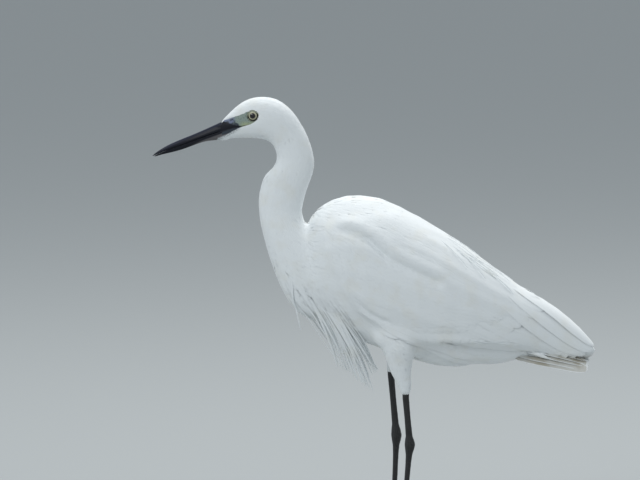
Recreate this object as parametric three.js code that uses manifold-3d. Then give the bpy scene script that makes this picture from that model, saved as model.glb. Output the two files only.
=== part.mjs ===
// A little egret, life size, standing as it wades: neck in an S, bill a little down, wings folded.
//
// Millimetres, +Z up, standing on Z = 0. The bill points along -X and the bird's left side faces -Y.
// The body is a set of forms. Each form is swept through a few named sections, and a section runs
// from the form's back line to its belly line in the bird's middle plane, with a half width.

import * as THREE from 'three';
import { mergeVertices } from 'three/addons/utils/BufferGeometryUtils.js';
import Module from 'manifold-3d';

const wasm = await Module();
wasm.setup();

// Driving dimensions

const GAP = 0.3; // free space between neighbouring pieces
const ROOM = 0.7; // how much a form grows to cut its neighbour, so that a slanting face keeps the gap too
const LEFT = -1; // side of the bird, as the sign of Y
const RIGHT = 1;
const SIDES = { left: LEFT, right: RIGHT };

const EYE_RADIUS = 5.2;
const EYE_CENTRE = { x: -121.3, out: 8.7, z: 432.7 };

const LEG_SPREAD = 26; // from the middle plane to each leg
const LEG_FLATNESS = 0.86; // a leg's width over its depth
const SHANK_HALF = 3.1; // half the depth of the bare shin above the hock
const HOCK_HALF = 5.4;
const HOCK_TOP = 0.82; // where the shin widens into the hock, as a share of the way down to it
const TARSUS_HALF = 2.7;
const FOOT_PAD = { length: 9, width: 7.2, height: 6, back: -1 }; // half sizes, and its place behind the leg
const FLAT_CUT = 0.4; // how much of the underside of pad and toes is cut away to make flats

const TAIL_SAG = 13; // how far the outer tail feathers hang below the middle ones
const WING_TILT = 20; // degrees: the rows of wing feathers lean back by this much
const WING_CUTS = [78, 150]; // where arm, flight feathers and wing tip part, at the height below
const WING_CUT_HEIGHT = 250;

// Sections: the names run along each form, from the bill to the tail or from the top of a leg down

const section = (back, belly, halfWidth, sag = 0) => ({ back, belly, halfWidth, sag });

const HEAD_AND_NECK = {
  billBase: section([-151.5, 427.2], [-161.5, 407.4], 5.8),
  forehead: section([-144, 435], [-149, 408.7], 8.2),
  brow: section([-134, 443.8], [-135, 409.8], 11),
  eye: section([-123, 449], [-123, 409.7], 13.2),
  crown: section([-111, 450.4], [-113, 408.7], 14.4),
  hindCrown: section([-98, 447.8], [-106, 406.5], 14.6),
  nape: section([-86, 439.5], [-102, 403], 14),
  throat: section([-76, 427], [-99.2, 398], 13.2),
  neckTop: section([-68, 412], [-98, 392.5], 12.8),
  upperBend: section([-63, 398], [-98, 387], 12.8),
  kink: section([-60.8, 385], [-101.5, 379.5], 13),
  belowKink: section([-62.5, 373], [-109, 372.5], 13.4),
  neckMiddle: section([-67, 361], [-113, 363], 13.8),
  lowerBend: section([-71, 348], [-115.8, 349], 14.4),
  neckFoot: section([-73, 336], [-115.6, 336], 15.4),
  collar: section([-70.5, 326], [-113.5, 321], 17.5),
  upperBreast: section([-62, 313], [-109.5, 305], 20.5),
  breast: section([-50, 297], [-104, 286], 24),
  lowerBreast: section([-37, 279], [-96.5, 266], 26.5),
  plumeRoots: section([-28, 259], [-87, 247], 26),
  breastEnd: section([-25, 241], [-76, 234.5], 22),
  breastTip: section([-30, 229], [-62, 226], 13),
};

// The whole body with its wings folded, out to the tips of the feathers
const PLUMAGE = {
  front: section([-66, 323], [-66, 285], 12),
  shoulder: section([-62, 332.5], [-67, 257], 28),
  wingBend: section([-53, 340.7], [-60, 235], 37.5),
  mantle: section([-37, 349], [-42, 219], 43),
  highestBack: section([-17, 351.5], [-20, 208], 46.5),
  widest: section([10, 347], [10, 197], 48),
  thighs: section([40, 332], [37, 189], 48),
  lowerBack: section([70, 314], [65, 184], 45.5),
  rump: section([100, 293], [92, 183], 40),
  vent: section([130, 270.5], [118, 183.5], 32),
  tertials: section([150, 256.5], [140, 189], 25),
  tailRoot: section([165, 250], [155, 197], 20.5),
  primaries: section([185, 236], [177, 194], 15),
  nearTip: section([203, 220], [197, 189], 10.5),
  roundTip: section([215, 206], [209, 187], 7),
  tip: section([222.3, 196.5], [218, 189], 3.5),
};

// The trunk between the wings
const TRUNK = {
  front: section([-66, 323], [-66, 285], 12),
  shoulder: section([-62, 332.5], [-67, 257], 25),
  wingBend: section([-53, 340.7], [-60, 235], 33),
  mantle: section([-37, 349], [-42, 219], 38),
  highestBack: section([-17, 351.5], [-20, 208], 40.5),
  widest: section([10, 347], [10, 197], 41.5),
  thighs: section([40, 331], [37, 189], 41),
  lowerBack: section([70, 311], [65, 184], 38.5),
  rump: section([98, 285], [92, 183], 32.5),
  vent: section([124, 257], [118, 183.5], 23.5),
  tailRoot: section([145, 235], [138, 187], 15.5),
  trunkEnd: section([158, 220], [152, 194], 8),
};

const TAIL = {
  root: section([128, 218], [127, 197], 9, 0.4 * TAIL_SAG),
  middle: section([165, 206], [164, 197], 14, 0.8 * TAIL_SAG),
  end: section([206, 190.5], [205.5, 188], 19, TAIL_SAG),
  edge: section([216, 186.4], [215.5, 185], 17, 0.75 * TAIL_SAG),
};

const BILL_FULLNESS = 0.8; // below 1 a section is boxier than an oval
const BILL_UPPER = {
  tip: section([-222.3, 391.8], [-222.2, 391], 0.5),
  nearTip: section([-215, 397.4], [-214, 395.1], 1.2),
  middle: section([-202, 404.4], [-200, 400.2], 2.2),
  thick: section([-182, 412.7], [-180, 407.6], 3.4),
  nostril: section([-165, 420.1], [-167, 412.2], 4.6),
  base: section([-152.2, 426.8], [-157.8, 415.8], 5.5),
};

const BILL_LOWER = {
  tip: section([-220.3, 391.2], [-220.1, 390.4], 0.4),
  nearTip: section([-213, 394.7], [-212, 393], 1.1),
  middle: section([-200, 399.7], [-197, 396.4], 2.1),
  gonys: section([-186, 404.8], [-187, 399.8], 3),
  thick: section([-173, 409.6], [-175, 404.4], 4),
  base: section([-158.2, 415.2], [-162.2, 407], 5.3),
};

// The two legs stand a little apart fore and aft, and the feathers end higher on the right thigh
const THIGH = {
  left: {
    hip: section([43, 212], [8, 212], 14.5),
    top: section([40.5, 199], [6.8, 204], 14.5),
    middle: section([36.5, 188], [11.2, 190], 11),
    lower: section([35.7, 174], [17, 175], 8),
    cuff: section([36, 161.5], [24.2, 162], 5.4),
    end: section([34.2, 154.5], [27.2, 154.5], 3.9),
  },
  right: {
    hip: section([36, 214], [4, 212], 14),
    top: section([33, 201], [6, 203], 13.5),
    middle: section([28, 191], [10.6, 192], 9.5),
    lower: section([23.5, 180], [12.6, 181], 6.2),
    end: section([19.6, 171.5], [12.8, 171.5], 4),
  },
};

const LEG = {
  left: { top: [30.7, 153], hock: [35, 104], foot: [27, 7] },
  right: { top: [16.2, 171], hock: [22, 107], foot: [18.5, 7] },
};

// Toes: heading is degrees from straight ahead, towards the other foot where positive
const TOE_TAPER = 0.62; // thickness at the claw over thickness at the root
const KNUCKLE = 0.15; // how much the joints swell and the bones between them thin
const CLAW_NARROWNESS = 0.75; // a claw's width over its depth
const TOES = {
  middle: { length: 56, claw: 10, heading: -3, rootHalf: 2.5, joints: 3 },
  inner: { length: 42, claw: 10, heading: 25, rootHalf: 2.3, joints: 2 },
  outer: { length: 44, claw: 9, heading: -31, rootHalf: 2.3, joints: 3 },
  hind: { length: 30, claw: 14, heading: 172, rootHalf: 2.5, joints: 1 },
};

// Breast plumes: the point each one reaches, how far it lies from the middle plane, and how far its
// middle bows forward. The front one grows from higher on the breast.
const PLUMES = [
  { end: [-74, 216.5], out: -6.3, bow: 1.5, front: true },
  { end: [-38, 179], out: -3.5, bow: 3 },
  { end: [-25, 172], out: 2.8, bow: 3 },
  { end: [-9, 169], out: -5.6, bow: 2 },
  { end: [-4, 154], out: 0.7, bow: 3 },
  { end: [2, 178], out: 5.6, bow: 2 },
  { end: [-7, 186], out: -7, bow: 1 },
];
const STRAND_HALVES = [2.6, 1.4, 0.35]; // at its root, its middle and its point
const PLUME_ROOT = [-50, 224];
const FRONT_PLUME_ROOT = [-70, 236];
const PLUME_TUFT = {
  root: section([-40, 247], [-85, 250], 16),
  top: section([-34, 229], [-77, 235], 14.5),
  middle: section([-28, 215], [-64, 221.5], 10.5),
  lower: section([-24, 204], [-48, 206], 6),
  end: section([-23, 194], [-34, 193], 2.5),
};

const MATERIALS = {
  plumage: new THREE.MeshStandardMaterial({ color: 0xf2f6f7, roughness: 0.75, metalness: 0 }),
  bill: new THREE.MeshStandardMaterial({ color: 0x1f1f26, roughness: 0.42, metalness: 0 }),
  eye: new THREE.MeshStandardMaterial({ color: 0xcfc88c, roughness: 0.08, metalness: 0 }),
  leg: new THREE.MeshStandardMaterial({ color: 0x1c1b1a, roughness: 0.5, metalness: 0 }),
  foot: new THREE.MeshStandardMaterial({ color: 0xb9b23c, roughness: 0.5, metalness: 0 }),
  claw: new THREE.MeshStandardMaterial({ color: 0x17150f, roughness: 0.35, metalness: 0 }),
};

// Solids

// A closed three.js geometry as a solid that can be joined and cut
function solidOf(geometry) {
  geometry.deleteAttribute('normal');
  geometry.deleteAttribute('uv');
  const merged = mergeVertices(geometry, 1e-4);
  return new wasm.Manifold(new wasm.Mesh({
    numProp: 3,
    vertProperties: merged.attributes.position.array,
    triVerts: new Uint32Array(merged.index.array),
  }));
}

// A power of a sine or cosine that keeps its sign: below 1 it fills out the corners of an oval
const rounded = (value, power) => Math.sign(value) * Math.abs(value) ** power;

// A form swept through its sections, or from one place among them to another, counted in sections.
// The curves carry the half width and the sag in their Y. A grown form is larger all round, to cut
// a neighbour back with.
function sweep(sections, options = {}) {
  const list = Object.values(sections);
  const last = list.length - 1;
  const {
    around = 12, along = 2 * last, fullness = 0.92, out = 0, grow = 0, from = 0, to = last,
    placing = new THREE.Matrix4(),
  } = options;
  const backLine = new THREE.CatmullRomCurve3(
    list.map((s) => new THREE.Vector3(s.back[0], s.halfWidth, s.back[1])));
  const bellyLine = new THREE.CatmullRomCurve3(
    list.map((s) => new THREE.Vector3(s.belly[0], s.sag, s.belly[1])));
  const tube = new THREE.CylinderGeometry(1, 1, 1, around, along);
  const place = tube.attributes.position;
  for (let i = 0; i < place.count; i++) {
    const run = 0.5 - place.getY(i);
    const share = (from + run * (to - from)) / last;
    const back = backLine.getPoint(share);
    const belly = bellyLine.getPoint(share);
    const half = { x: (back.x - belly.x) / 2, z: (back.z - belly.z) / 2 };
    const depth = Math.hypot(half.x, half.z);
    const pushed = { 0: -grow / depth, 1: grow / depth }[run] ?? 0; // the two ends also grow outwards
    const up = rounded(place.getZ(i), fullness) * (1 + grow / depth);
    const side = rounded(place.getX(i), fullness);
    place.setXYZ(
      i,
      (back.x + belly.x) / 2 + half.x * up + half.z * pushed,
      out + (back.y + grow) * side,
      (back.z + belly.z) / 2 + half.z * up - half.x * pushed - belly.y * side * side,
    );
  }
  return solidOf(tube.applyMatrix4(placing));
}

const FAR = 600; // larger than the bird, for boxes that keep whatever lies on one side of a plane

const aboveFloor = solidOf(new THREE.BoxGeometry(2 * FAR, 2 * FAR, FAR).translate(0, 0, FAR / 2));

const egret = new THREE.Group();

function addPiece(name, solid, material) {
  const { vertProperties, triVerts } = solid.getMesh();
  const geometry = new THREE.BufferGeometry();
  geometry.setAttribute('position', new THREE.BufferAttribute(new Float32Array(vertProperties), 3));
  geometry.setIndex(new THREE.BufferAttribute(new Uint32Array(triVerts), 1));
  geometry.computeVertexNormals();
  const piece = new THREE.Mesh(geometry, material);
  piece.name = name;
  egret.add(piece);
}

// Trunk and tail

const TRUNK_FACETS = { around: 20, along: 16 };
const roomForTrunk = sweep(TRUNK, { ...TRUNK_FACETS, grow: ROOM });
const roomForTail = sweep(TAIL, { along: 7, grow: ROOM });

function addTrunkAndTail() {
  addPiece('trunk', sweep(TRUNK, TRUNK_FACETS), MATERIALS.plumage);
  addPiece('tail', sweep(TAIL, { along: 7 }).subtract(roomForTrunk), MATERIALS.plumage);
}

// Head and neck: the neck is parted into lengths by thin cuts

const NECK_PARTS = [
  { name: 'head', from: 'billBase', to: 'throat' },
  { name: 'neck_upper', from: 'throat', to: 'belowKink' },
  { name: 'neck_middle', from: 'belowKink', to: 'neckFoot' },
  { name: 'neck_lower', from: 'neckFoot', to: 'breast' },
  { name: 'breast', from: 'breast', to: 'breastTip' },
];
const NECK_CUT = 0.012; // half of a thin cut, as a share of the space between two sections

function neckPart({ from, to }, grow = 0) {
  const names = Object.keys(HEAD_AND_NECK);
  const start = names.indexOf(from);
  const end = names.indexOf(to);
  return sweep(HEAD_AND_NECK, {
    around: 16,
    along: 2 * (end - start),
    grow,
    from: start === 0 ? start : start + NECK_CUT,
    to: end === names.length - 1 ? end : end - NECK_CUT,
  });
}

function eyeball(side, radius) {
  return solidOf(new THREE.SphereGeometry(radius, 12, 8)
    .translate(EYE_CENTRE.x, side * EYE_CENTRE.out, EYE_CENTRE.z));
}

function addHeadAndNeck() {
  const [head, ...neck] = NECK_PARTS;
  const sockets = Object.values(SIDES).map((side) => eyeball(side, EYE_RADIUS + GAP));
  const skull = sockets.reduce((rest, socket) => rest.subtract(socket), neckPart(head));
  addPiece(head.name, skull, MATERIALS.plumage);
  for (const part of neck) {
    addPiece(part.name, neckPart(part).subtract(roomForTrunk), MATERIALS.plumage);
  }
}

function addBillAndEyes() {
  addPiece('bill_upper', sweep(BILL_UPPER, { fullness: BILL_FULLNESS }), MATERIALS.bill);
  addPiece('bill_lower', sweep(BILL_LOWER, { fullness: BILL_FULLNESS }), MATERIALS.bill);
  for (const [word, side] of Object.entries(SIDES)) {
    addPiece(`eye_${word}`, eyeball(side, EYE_RADIUS), MATERIALS.eye);
  }
}

// Wings: what lies between the trunk and the outside of the folded plumage, within the wing's
// outline as seen from the side, parted into arm, flight feathers and tip

function wingOutline() {
  const outline = new THREE.Shape();
  outline.moveTo(-53, 320);
  outline.bezierCurveTo(-50, 293, -34, 268, -22, 246); // front edge, down from the bend
  outline.bezierCurveTo(-10, 228, 25, 212, 75, 204.5); // lower edge of the coverts
  outline.bezierCurveTo(105, 200, 135, 201, 160, 199.5); // lower edge of the flight feathers
  outline.bezierCurveTo(185, 196, 200, 187, 216, 187);
  outline.lineTo(240, 190); // round behind the tip, outside the plumage
  outline.lineTo(180, 290);
  outline.lineTo(58, 350);
  outline.bezierCurveTo(35, 334, 10, 338, -8, 335); // upper edge, under the scapulars
  outline.bezierCurveTo(-25, 333, -45, 331, -53, 320);
  return outline;
}

const thighForm = (word, side, grow = 0) => sweep(THIGH[word], { out: side * LEG_SPREAD, grow });

function addWing(word, side) {
  const reach = 2 * Math.max(...Object.values(PLUMAGE).map((s) => s.halfWidth));
  const facets = { depth: reach, bevelEnabled: false, curveSegments: 4 };
  const outline = new THREE.ExtrudeGeometry(wingOutline(), facets)
    .rotateX(Math.PI / 2)
    .translate(0, side === LEFT ? -GAP / 2 : reach + GAP / 2, 0);
  const wing = [roomForTrunk, roomForTail, thighForm(word, side, ROOM)].reduce(
    (rest, neighbour) => rest.subtract(neighbour),
    sweep(PLUMAGE, { around: 20, along: 17 }).intersect(solidOf(outline)));
  const starts = [-FAR, WING_CUTS[0] + GAP, WING_CUTS[1] + GAP];
  const ends = [...WING_CUTS, FAR];
  ['arm', 'flight', 'tip'].forEach((part, i) => {
    const slab = solidOf(new THREE.BoxGeometry(ends[i] - starts[i], FAR, FAR)
      .translate((starts[i] + ends[i]) / 2, 0, 0)
      .rotateY(THREE.MathUtils.degToRad(WING_TILT))
      .translate(0, 0, WING_CUT_HEIGHT));
    addPiece(`wing_${part}_${word}`, wing.intersect(slab), MATERIALS.plumage);
  });
}

// Breast plumes: a tuft below the breast that ends in long loose points

function plumeStrand({ end, out, bow, front = false }) {
  const tip = new THREE.Vector2(...end);
  const start = new THREE.Vector2(...(front ? FRONT_PLUME_ROOT : PLUME_ROOT));
  const along = tip.clone().sub(start);
  const across = new THREE.Vector2(-along.y, along.x).normalize();
  const middle = start.clone().lerp(tip, 0.55).addScaledVector(across, -bow);
  const sections = [start, middle, tip].map((point, i) => {
    const half = STRAND_HALVES[i];
    const back = point.clone().addScaledVector(across, half);
    const belly = point.clone().addScaledVector(across, -half);
    return section(back.toArray(), belly.toArray(), half);
  });
  return sweep(sections, { around: 6, along: 3, fullness: 1, out });
}

function addBreastPlumes() {
  const tuft = PLUMES.reduce(
    (whole, plume) => whole.add(plumeStrand(plume)),
    sweep(PLUME_TUFT));
  const roomForBreast = neckPart(NECK_PARTS.at(-1), ROOM);
  addPiece('breast_plumes', tuft.subtract(roomForTrunk).subtract(roomForBreast), MATERIALS.plumage);
}

// Legs

// A level section of a leg at a point, half as deep as given
const legSection = ([x, z], half) => section([x + half, z], [x - half, z], half * LEG_FLATNESS);

// The pad under the foot, larger where it is to cut the toes and the leg back
function footPad(foot, out, grow = 0) {
  return solidOf(new THREE.SphereGeometry(1, 12, 7)
    .scale(FOOT_PAD.length + grow, FOOT_PAD.width + grow, FOOT_PAD.height + grow)
    .translate(foot[0] + FOOT_PAD.back, out, FOOT_PAD.height / 2 - FLAT_CUT));
}

function addLeg(word, side) {
  const out = side * LEG_SPREAD;
  const { top, hock, foot } = LEG[word];
  const alongLeg = (a, b, share) => [a[0] + (b[0] - a[0]) * share, a[1] + (b[1] - a[1]) * share];
  const hockTop = alongLeg(top, hock, HOCK_TOP);
  const shank = {
    top: legSection(top, SHANK_HALF + 0.3),
    middle: legSection(alongLeg(top, hock, 0.45), SHANK_HALF),
    end: legSection(hockTop, SHANK_HALF + 0.4),
  };
  const tarsus = {
    top: legSection([hockTop[0], hockTop[1] - GAP], SHANK_HALF + 0.4),
    hock: legSection(hock, HOCK_HALF),
    belowHock: legSection(alongLeg(hock, foot, 0.1), TARSUS_HALF + 0.7),
    upper: legSection(alongLeg(hock, foot, 0.3), TARSUS_HALF),
    lower: legSection(alongLeg(hock, foot, 0.8), TARSUS_HALF),
    ankle: legSection(alongLeg(hock, foot, 0.94), TARSUS_HALF + 0.7),
    end: legSection(foot, TARSUS_HALF + 1),
  };
  const roomForPad = footPad(foot, out, GAP);
  addPiece(`thigh_${word}`, thighForm(word, side).subtract(roomForTrunk), MATERIALS.plumage);
  addPiece(`shank_${word}`, sweep(shank, { around: 9, fullness: 1, out }), MATERIALS.leg);
  addPiece(
    `tarsus_${word}`,
    sweep(tarsus, { around: 9, fullness: 1, out }).subtract(roomForPad),
    MATERIALS.leg);
  addPiece(`foot_${word}`, footPad(foot, out).intersect(aboveFloor), MATERIALS.foot);
  for (const [toeWord, toe] of Object.entries(TOES)) {
    const heading = THREE.MathUtils.degToRad(180 + side * toe.heading);
    const placing = new THREE.Matrix4().makeRotationZ(heading)
      .setPosition(foot[0] + FOOT_PAD.back, out, 0);
    addToe(`${toeWord}_${word}`, toe, placing, roomForPad);
  }
}

// A toe lies along the floor from the foot, swollen at each joint, and ends in a claw
function addToe(name, { length, claw, rootHalf, joints }, placing, roomForPad) {
  const tipHalf = TOE_TAPER * rootHalf;
  const steps = 2 * (joints + 1);
  const bones = [];
  for (let i = 0; i <= steps; i++) {
    const swelling = i % 2 === 0 ? KNUCKLE : -KNUCKLE;
    const half = THREE.MathUtils.lerp(rootHalf, tipHalf, i / steps) + swelling;
    const x = length * i / steps;
    bones.push(section([x, 2 * half - FLAT_CUT], [x, -FLAT_CUT], half));
  }
  const clawSection = (share, height, half) => {
    const x = length + GAP + claw * share;
    return section([x, height + half], [x, height - half], half * CLAW_NARROWNESS);
  };
  const clawSections = {
    root: clawSection(0, tipHalf - FLAT_CUT + 0.2, tipHalf * 0.8),
    middle: clawSection(0.5, tipHalf + 0.1, tipHalf * 0.6),
    tip: clawSection(1, 0.5, 0.35),
  };
  const toeForm = sweep(bones, { around: 7, along: steps, fullness: 1, placing });
  const clawForm = sweep(clawSections, { around: 6, along: 3, fullness: 1, placing });
  addPiece(`toe_${name}`, toeForm.intersect(aboveFloor).subtract(roomForPad), MATERIALS.foot);
  addPiece(`claw_${name}`, clawForm.intersect(aboveFloor), MATERIALS.claw);
}

addHeadAndNeck();
addBillAndEyes();
addTrunkAndTail();
addBreastPlumes();
for (const [word, side] of Object.entries(SIDES)) {
  addWing(word, side);
  addLeg(word, side);
}

export default egret;
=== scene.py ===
# %% [markdown]
# # A little egret, feather by feather
#
# The solids of the frame give the bird's true outline, out to the tips of its feathers. This lesson
# covers them the way a model maker would: one skin, a little inside that outline, then small locks on
# the face, longer ones down the neck and over the body, real vanes on the wings and tail, and last the
# hard parts, which are bill, eyes, legs and claws.
#
# Lengths are in metres, as everywhere in Blender, and most are written as a number of millimetres.
# The bill points along -X, and the bird's left side, which the camera sees, faces -Y.

# %% Load the frame
import math

import bpy
import bmesh
import numpy as np
from mathutils import Matrix, Vector
from mathutils.bvhtree import BVHTree
from mathutils.kdtree import KDTree


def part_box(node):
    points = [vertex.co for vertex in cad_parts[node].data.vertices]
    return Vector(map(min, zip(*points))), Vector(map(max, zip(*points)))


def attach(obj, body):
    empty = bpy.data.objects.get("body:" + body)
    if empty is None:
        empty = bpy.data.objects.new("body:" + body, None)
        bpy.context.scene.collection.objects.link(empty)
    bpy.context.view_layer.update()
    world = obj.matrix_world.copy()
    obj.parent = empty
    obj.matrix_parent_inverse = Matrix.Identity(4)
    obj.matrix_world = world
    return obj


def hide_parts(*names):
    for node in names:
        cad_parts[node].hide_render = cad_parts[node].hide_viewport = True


MM = 0.001
LEFT, RIGHT = -1, 1  # the bird's sides, as the sign of Y
SIDES = {"left": LEFT, "right": RIGHT}

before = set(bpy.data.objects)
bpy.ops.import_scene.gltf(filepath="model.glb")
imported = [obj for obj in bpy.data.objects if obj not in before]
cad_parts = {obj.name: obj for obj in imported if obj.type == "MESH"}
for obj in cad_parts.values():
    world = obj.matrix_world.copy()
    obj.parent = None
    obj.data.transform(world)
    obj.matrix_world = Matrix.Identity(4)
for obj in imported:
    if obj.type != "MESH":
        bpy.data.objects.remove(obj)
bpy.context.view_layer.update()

# %% [markdown]
# ## Camera
#
# A bird's portrait is taken from far away with a long lens, which flattens it: near and far leg look
# the same size. So the camera stands nine metres off, a little above the bird's eye level, and the lens
# is worked out from the width that it has to see. One millimetre of bird is one pixel of picture, and
# the bill's tip and the crown say where the picture's middle lies.

# %% Camera
PICTURE_WIDTH = 640  # pixels, each a millimetre at the bird
PICTURE_HEIGHT = 480
BILL_TIP_COLUMN = 152.5  # pixels from the left edge
CROWN_ROW = 96.5  # pixels from the top edge
CAMERA_DISTANCE = 9.0
CAMERA_RISE = math.radians(6)

bill_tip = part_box("bill_upper")[0].x
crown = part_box("head")[1].z
view_centre = Vector((
    bill_tip + (PICTURE_WIDTH / 2 - BILL_TIP_COLUMN) * MM,
    0,
    crown - (PICTURE_HEIGHT / 2 - CROWN_ROW) * MM,
))
camera_data = bpy.data.cameras.new("camera")
camera_data.lens = camera_data.sensor_width * CAMERA_DISTANCE / (PICTURE_WIDTH * MM)
camera = bpy.data.objects.new("camera", camera_data)
camera.location = view_centre + CAMERA_DISTANCE * Vector((0, -math.cos(CAMERA_RISE), math.sin(CAMERA_RISE)))
camera.rotation_euler = (math.pi / 2 - CAMERA_RISE, 0, 0)
bpy.context.scene.collection.objects.link(camera)
bpy.context.scene.camera = camera
print("lens", round(camera_data.lens), "mm, looking at", [round(c / MM) for c in view_centre])

# %% [markdown]
# ## Floor and light
#
# White feathers show their form only through soft shade, so the light is large and comes from one
# side: a broad lamp high over the bird's back draws the bright upper outline, a second one from the
# front left models head, neck and wing, and a weak sky fills the rest. The floor is a plain pale grey,
# dark enough for white to stand out, and reaches so far that no edge shows.

# %% Floor and light
FLOOR_SIZE = 80
FLOOR_TONE = (0.40, 0.42, 0.425, 1)
SKY_TONE = (0.88, 0.95, 1.0, 1)
SKY_STRENGTH = 0.62
LAMPS = (  # name, place and side in metres, watts, tone
    ("light_over_back", (0.4, 0.9, 2.7), 1.5, 46, (1, 0.99, 0.97)),
    ("light_front_left", (-1.9, -2.0, 2.2), 1.0, 26, (0.96, 0.98, 1)),
)

bpy.context.scene.view_settings.view_transform = "Standard"


def lamp(name, place, size, power, tone):
    """A square lamp that looks at the middle of the picture."""
    data = bpy.data.lights.new(name, "AREA")
    data.size = size
    data.energy = power
    data.color = tone
    made = bpy.data.objects.new(name, data)
    made.location = place
    made.rotation_euler = (view_centre - Vector(place)).to_track_quat("-Z", "Y").to_euler()
    bpy.context.scene.collection.objects.link(made)


for row in LAMPS:
    lamp(*row)
sky = bpy.data.worlds.new("sky")
sky.use_nodes = True
sky.node_tree.nodes["Background"].inputs["Color"].default_value = SKY_TONE
sky.node_tree.nodes["Background"].inputs["Strength"].default_value = SKY_STRENGTH
bpy.context.scene.world = sky

floor_mesh = bpy.data.meshes.new("floor")
half = FLOOR_SIZE / 2
floor_corners = [(-half, -half, 0), (half, -half, 0), (half, half, 0), (-half, half, 0)]
floor_mesh.from_pydata(floor_corners, [], [(0, 1, 2, 3)])
floor = bpy.data.objects.new("floor", floor_mesh)
bpy.context.scene.collection.objects.link(floor)
print("lamps:", len(bpy.data.lights), "floor:", FLOOR_SIZE, "m wide")

# %% [markdown]
# ## A way to write materials
#
# A material in Blender is a graph of nodes. Written out link by link it is hard to read, so two small
# classes let us write shader maths as ordinary Python. A Value wraps one socket, and adding or
# multiplying values adds the Math nodes. A Look is a material: it makes any node by its type, mixes
# colours, and plugs results into the main shader.

# %% Values and looks
MIX_INPUTS = (0, 6, 7)  # the sockets of a Mix node for its share and its two colours
MIX_OUTPUT = 2  # the socket with its colour
ATTRIBUTE_NUMBER = 2  # the socket of an Attribute node with a plain number
OBJECT_PLACE = 3  # the socket of a Texture Coordinate node with places in the object's own space


class Value:
    """A number that varies over a surface: a socket whose arithmetic adds Math nodes."""

    def __init__(self, look, socket):
        self.look = look
        self.socket = socket

    def maths(self, operation, other=None, turned=False):
        """Any Math node on this value and another, or on the other and this one if turned."""
        values = (other, self) if turned else (self, other)
        return self.look.node("ShaderNodeMath", {"operation": operation}, *values)

    def __add__(self, other):
        return self.maths("ADD", other)

    def __sub__(self, other):
        return self.maths("SUBTRACT", other)

    def __mul__(self, other):
        return self.maths("MULTIPLY", other)

    def __rsub__(self, other):
        return self.maths("SUBTRACT", other, turned=True)

    __radd__ = __add__
    __rmul__ = __mul__

    def smooth(self, low, high):
        """0 below low, 1 above high, and an even S in between. low may be above high."""
        settings = {"interpolation_type": "SMOOTHSTEP"}
        return self.look.node("ShaderNodeMapRange", settings, self, low, high)


class Look:
    """A material around one Principled shader."""

    def __init__(self, name, **sockets):
        self.material = bpy.data.materials.new(name)
        self.material.use_nodes = True
        self.tree = self.material.node_tree
        self.shader = self.tree.nodes["Principled BSDF"]
        for socket, value in sockets.items():
            self.set(socket.replace("_", " "), value)

    def plug(self, socket, value):
        """Links a socket to a Value, or sets it to a plain number or colour."""
        if isinstance(value, Value):
            self.tree.links.new(value.socket, socket)
        elif value is not None:
            socket.default_value = value

    def set(self, socket, value):
        self.plug(self.shader.inputs[socket], value)

    def node(self, kind, settings=None, *values, output=0, **sockets):
        """Any node: its settings first, then the values of its sockets, in order or by name."""
        made = self.tree.nodes.new(kind)
        for setting, value in (settings or {}).items():
            setattr(made, setting, value)
        for socket, value in zip(made.inputs, values):
            self.plug(socket, value)
        for socket, value in sockets.items():
            self.plug(made.inputs[socket.replace("_", " ")], value)
        return Value(self, made.outputs[output])

    def mix(self, share, first, second):
        """From the first colour at share 0 to the second at 1."""
        made = self.tree.nodes.new("ShaderNodeMix")
        made.data_type = "RGBA"
        for number, value in zip(MIX_INPUTS, (share, first, second)):
            self.plug(made.inputs[number], value)
        return Value(self, made.outputs[MIX_OUTPUT])

    def attribute(self, name):
        """A number kept at the corners of the mesh."""
        return self.node("ShaderNodeAttribute", {"attribute_name": name}, output=ATTRIBUTE_NUMBER)

    def part(self, vector, axis):
        """One of a vector's three numbers, named X, Y or Z."""
        return self.node("ShaderNodeSeparateXYZ", None, vector, output="XYZ".index(axis))

    def place(self):
        """The point on the surface, in the frame's metres."""
        return self.node("ShaderNodeTexCoord", output=OBJECT_PLACE)

    def noise(self, scale, detail=3, vector=None, stretch=(1, 1, 1)):
        """Soft random patches, about scale of them to a metre."""
        at = self.node("ShaderNodeMapping", None, vector or self.place(), Scale=stretch)
        return self.node("ShaderNodeTexNoise", None, Vector=at, Scale=scale, Detail=detail)

    def bump(self, height, depth, strength=1.0):
        """Small relief. depth is how far a height of 1 stands out, in metres."""
        bump = self.node("ShaderNodeBump", None, Strength=strength, Distance=depth, Height=height)
        self.set("Normal", bump)


floor_look = Look("floor", Base_Color=FLOOR_TONE, Roughness=0.9, Specular_IOR_Level=0.2)
floor_mesh.materials.append(floor_look.material)
print("floor look:", floor_look.material.name)

# %% [markdown]
# ## Working on meshes as arrays
#
# Thousands of feathers are far too many for one object each, and Blender's mesh editing calls are slow
# one by one. So vertices and faces are kept as number arrays while they are worked on, and become a
# mesh in one go at the end.

# %% Arrays in and out of Blender
def mesh_arrays(mesh):
    """Vertex places as rows of three, and faces as lists of vertex numbers."""
    places = np.empty(len(mesh.vertices) * 3)
    mesh.vertices.foreach_get("co", places)
    return places.reshape(-1, 3), [tuple(face.vertices) for face in mesh.polygons]


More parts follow.
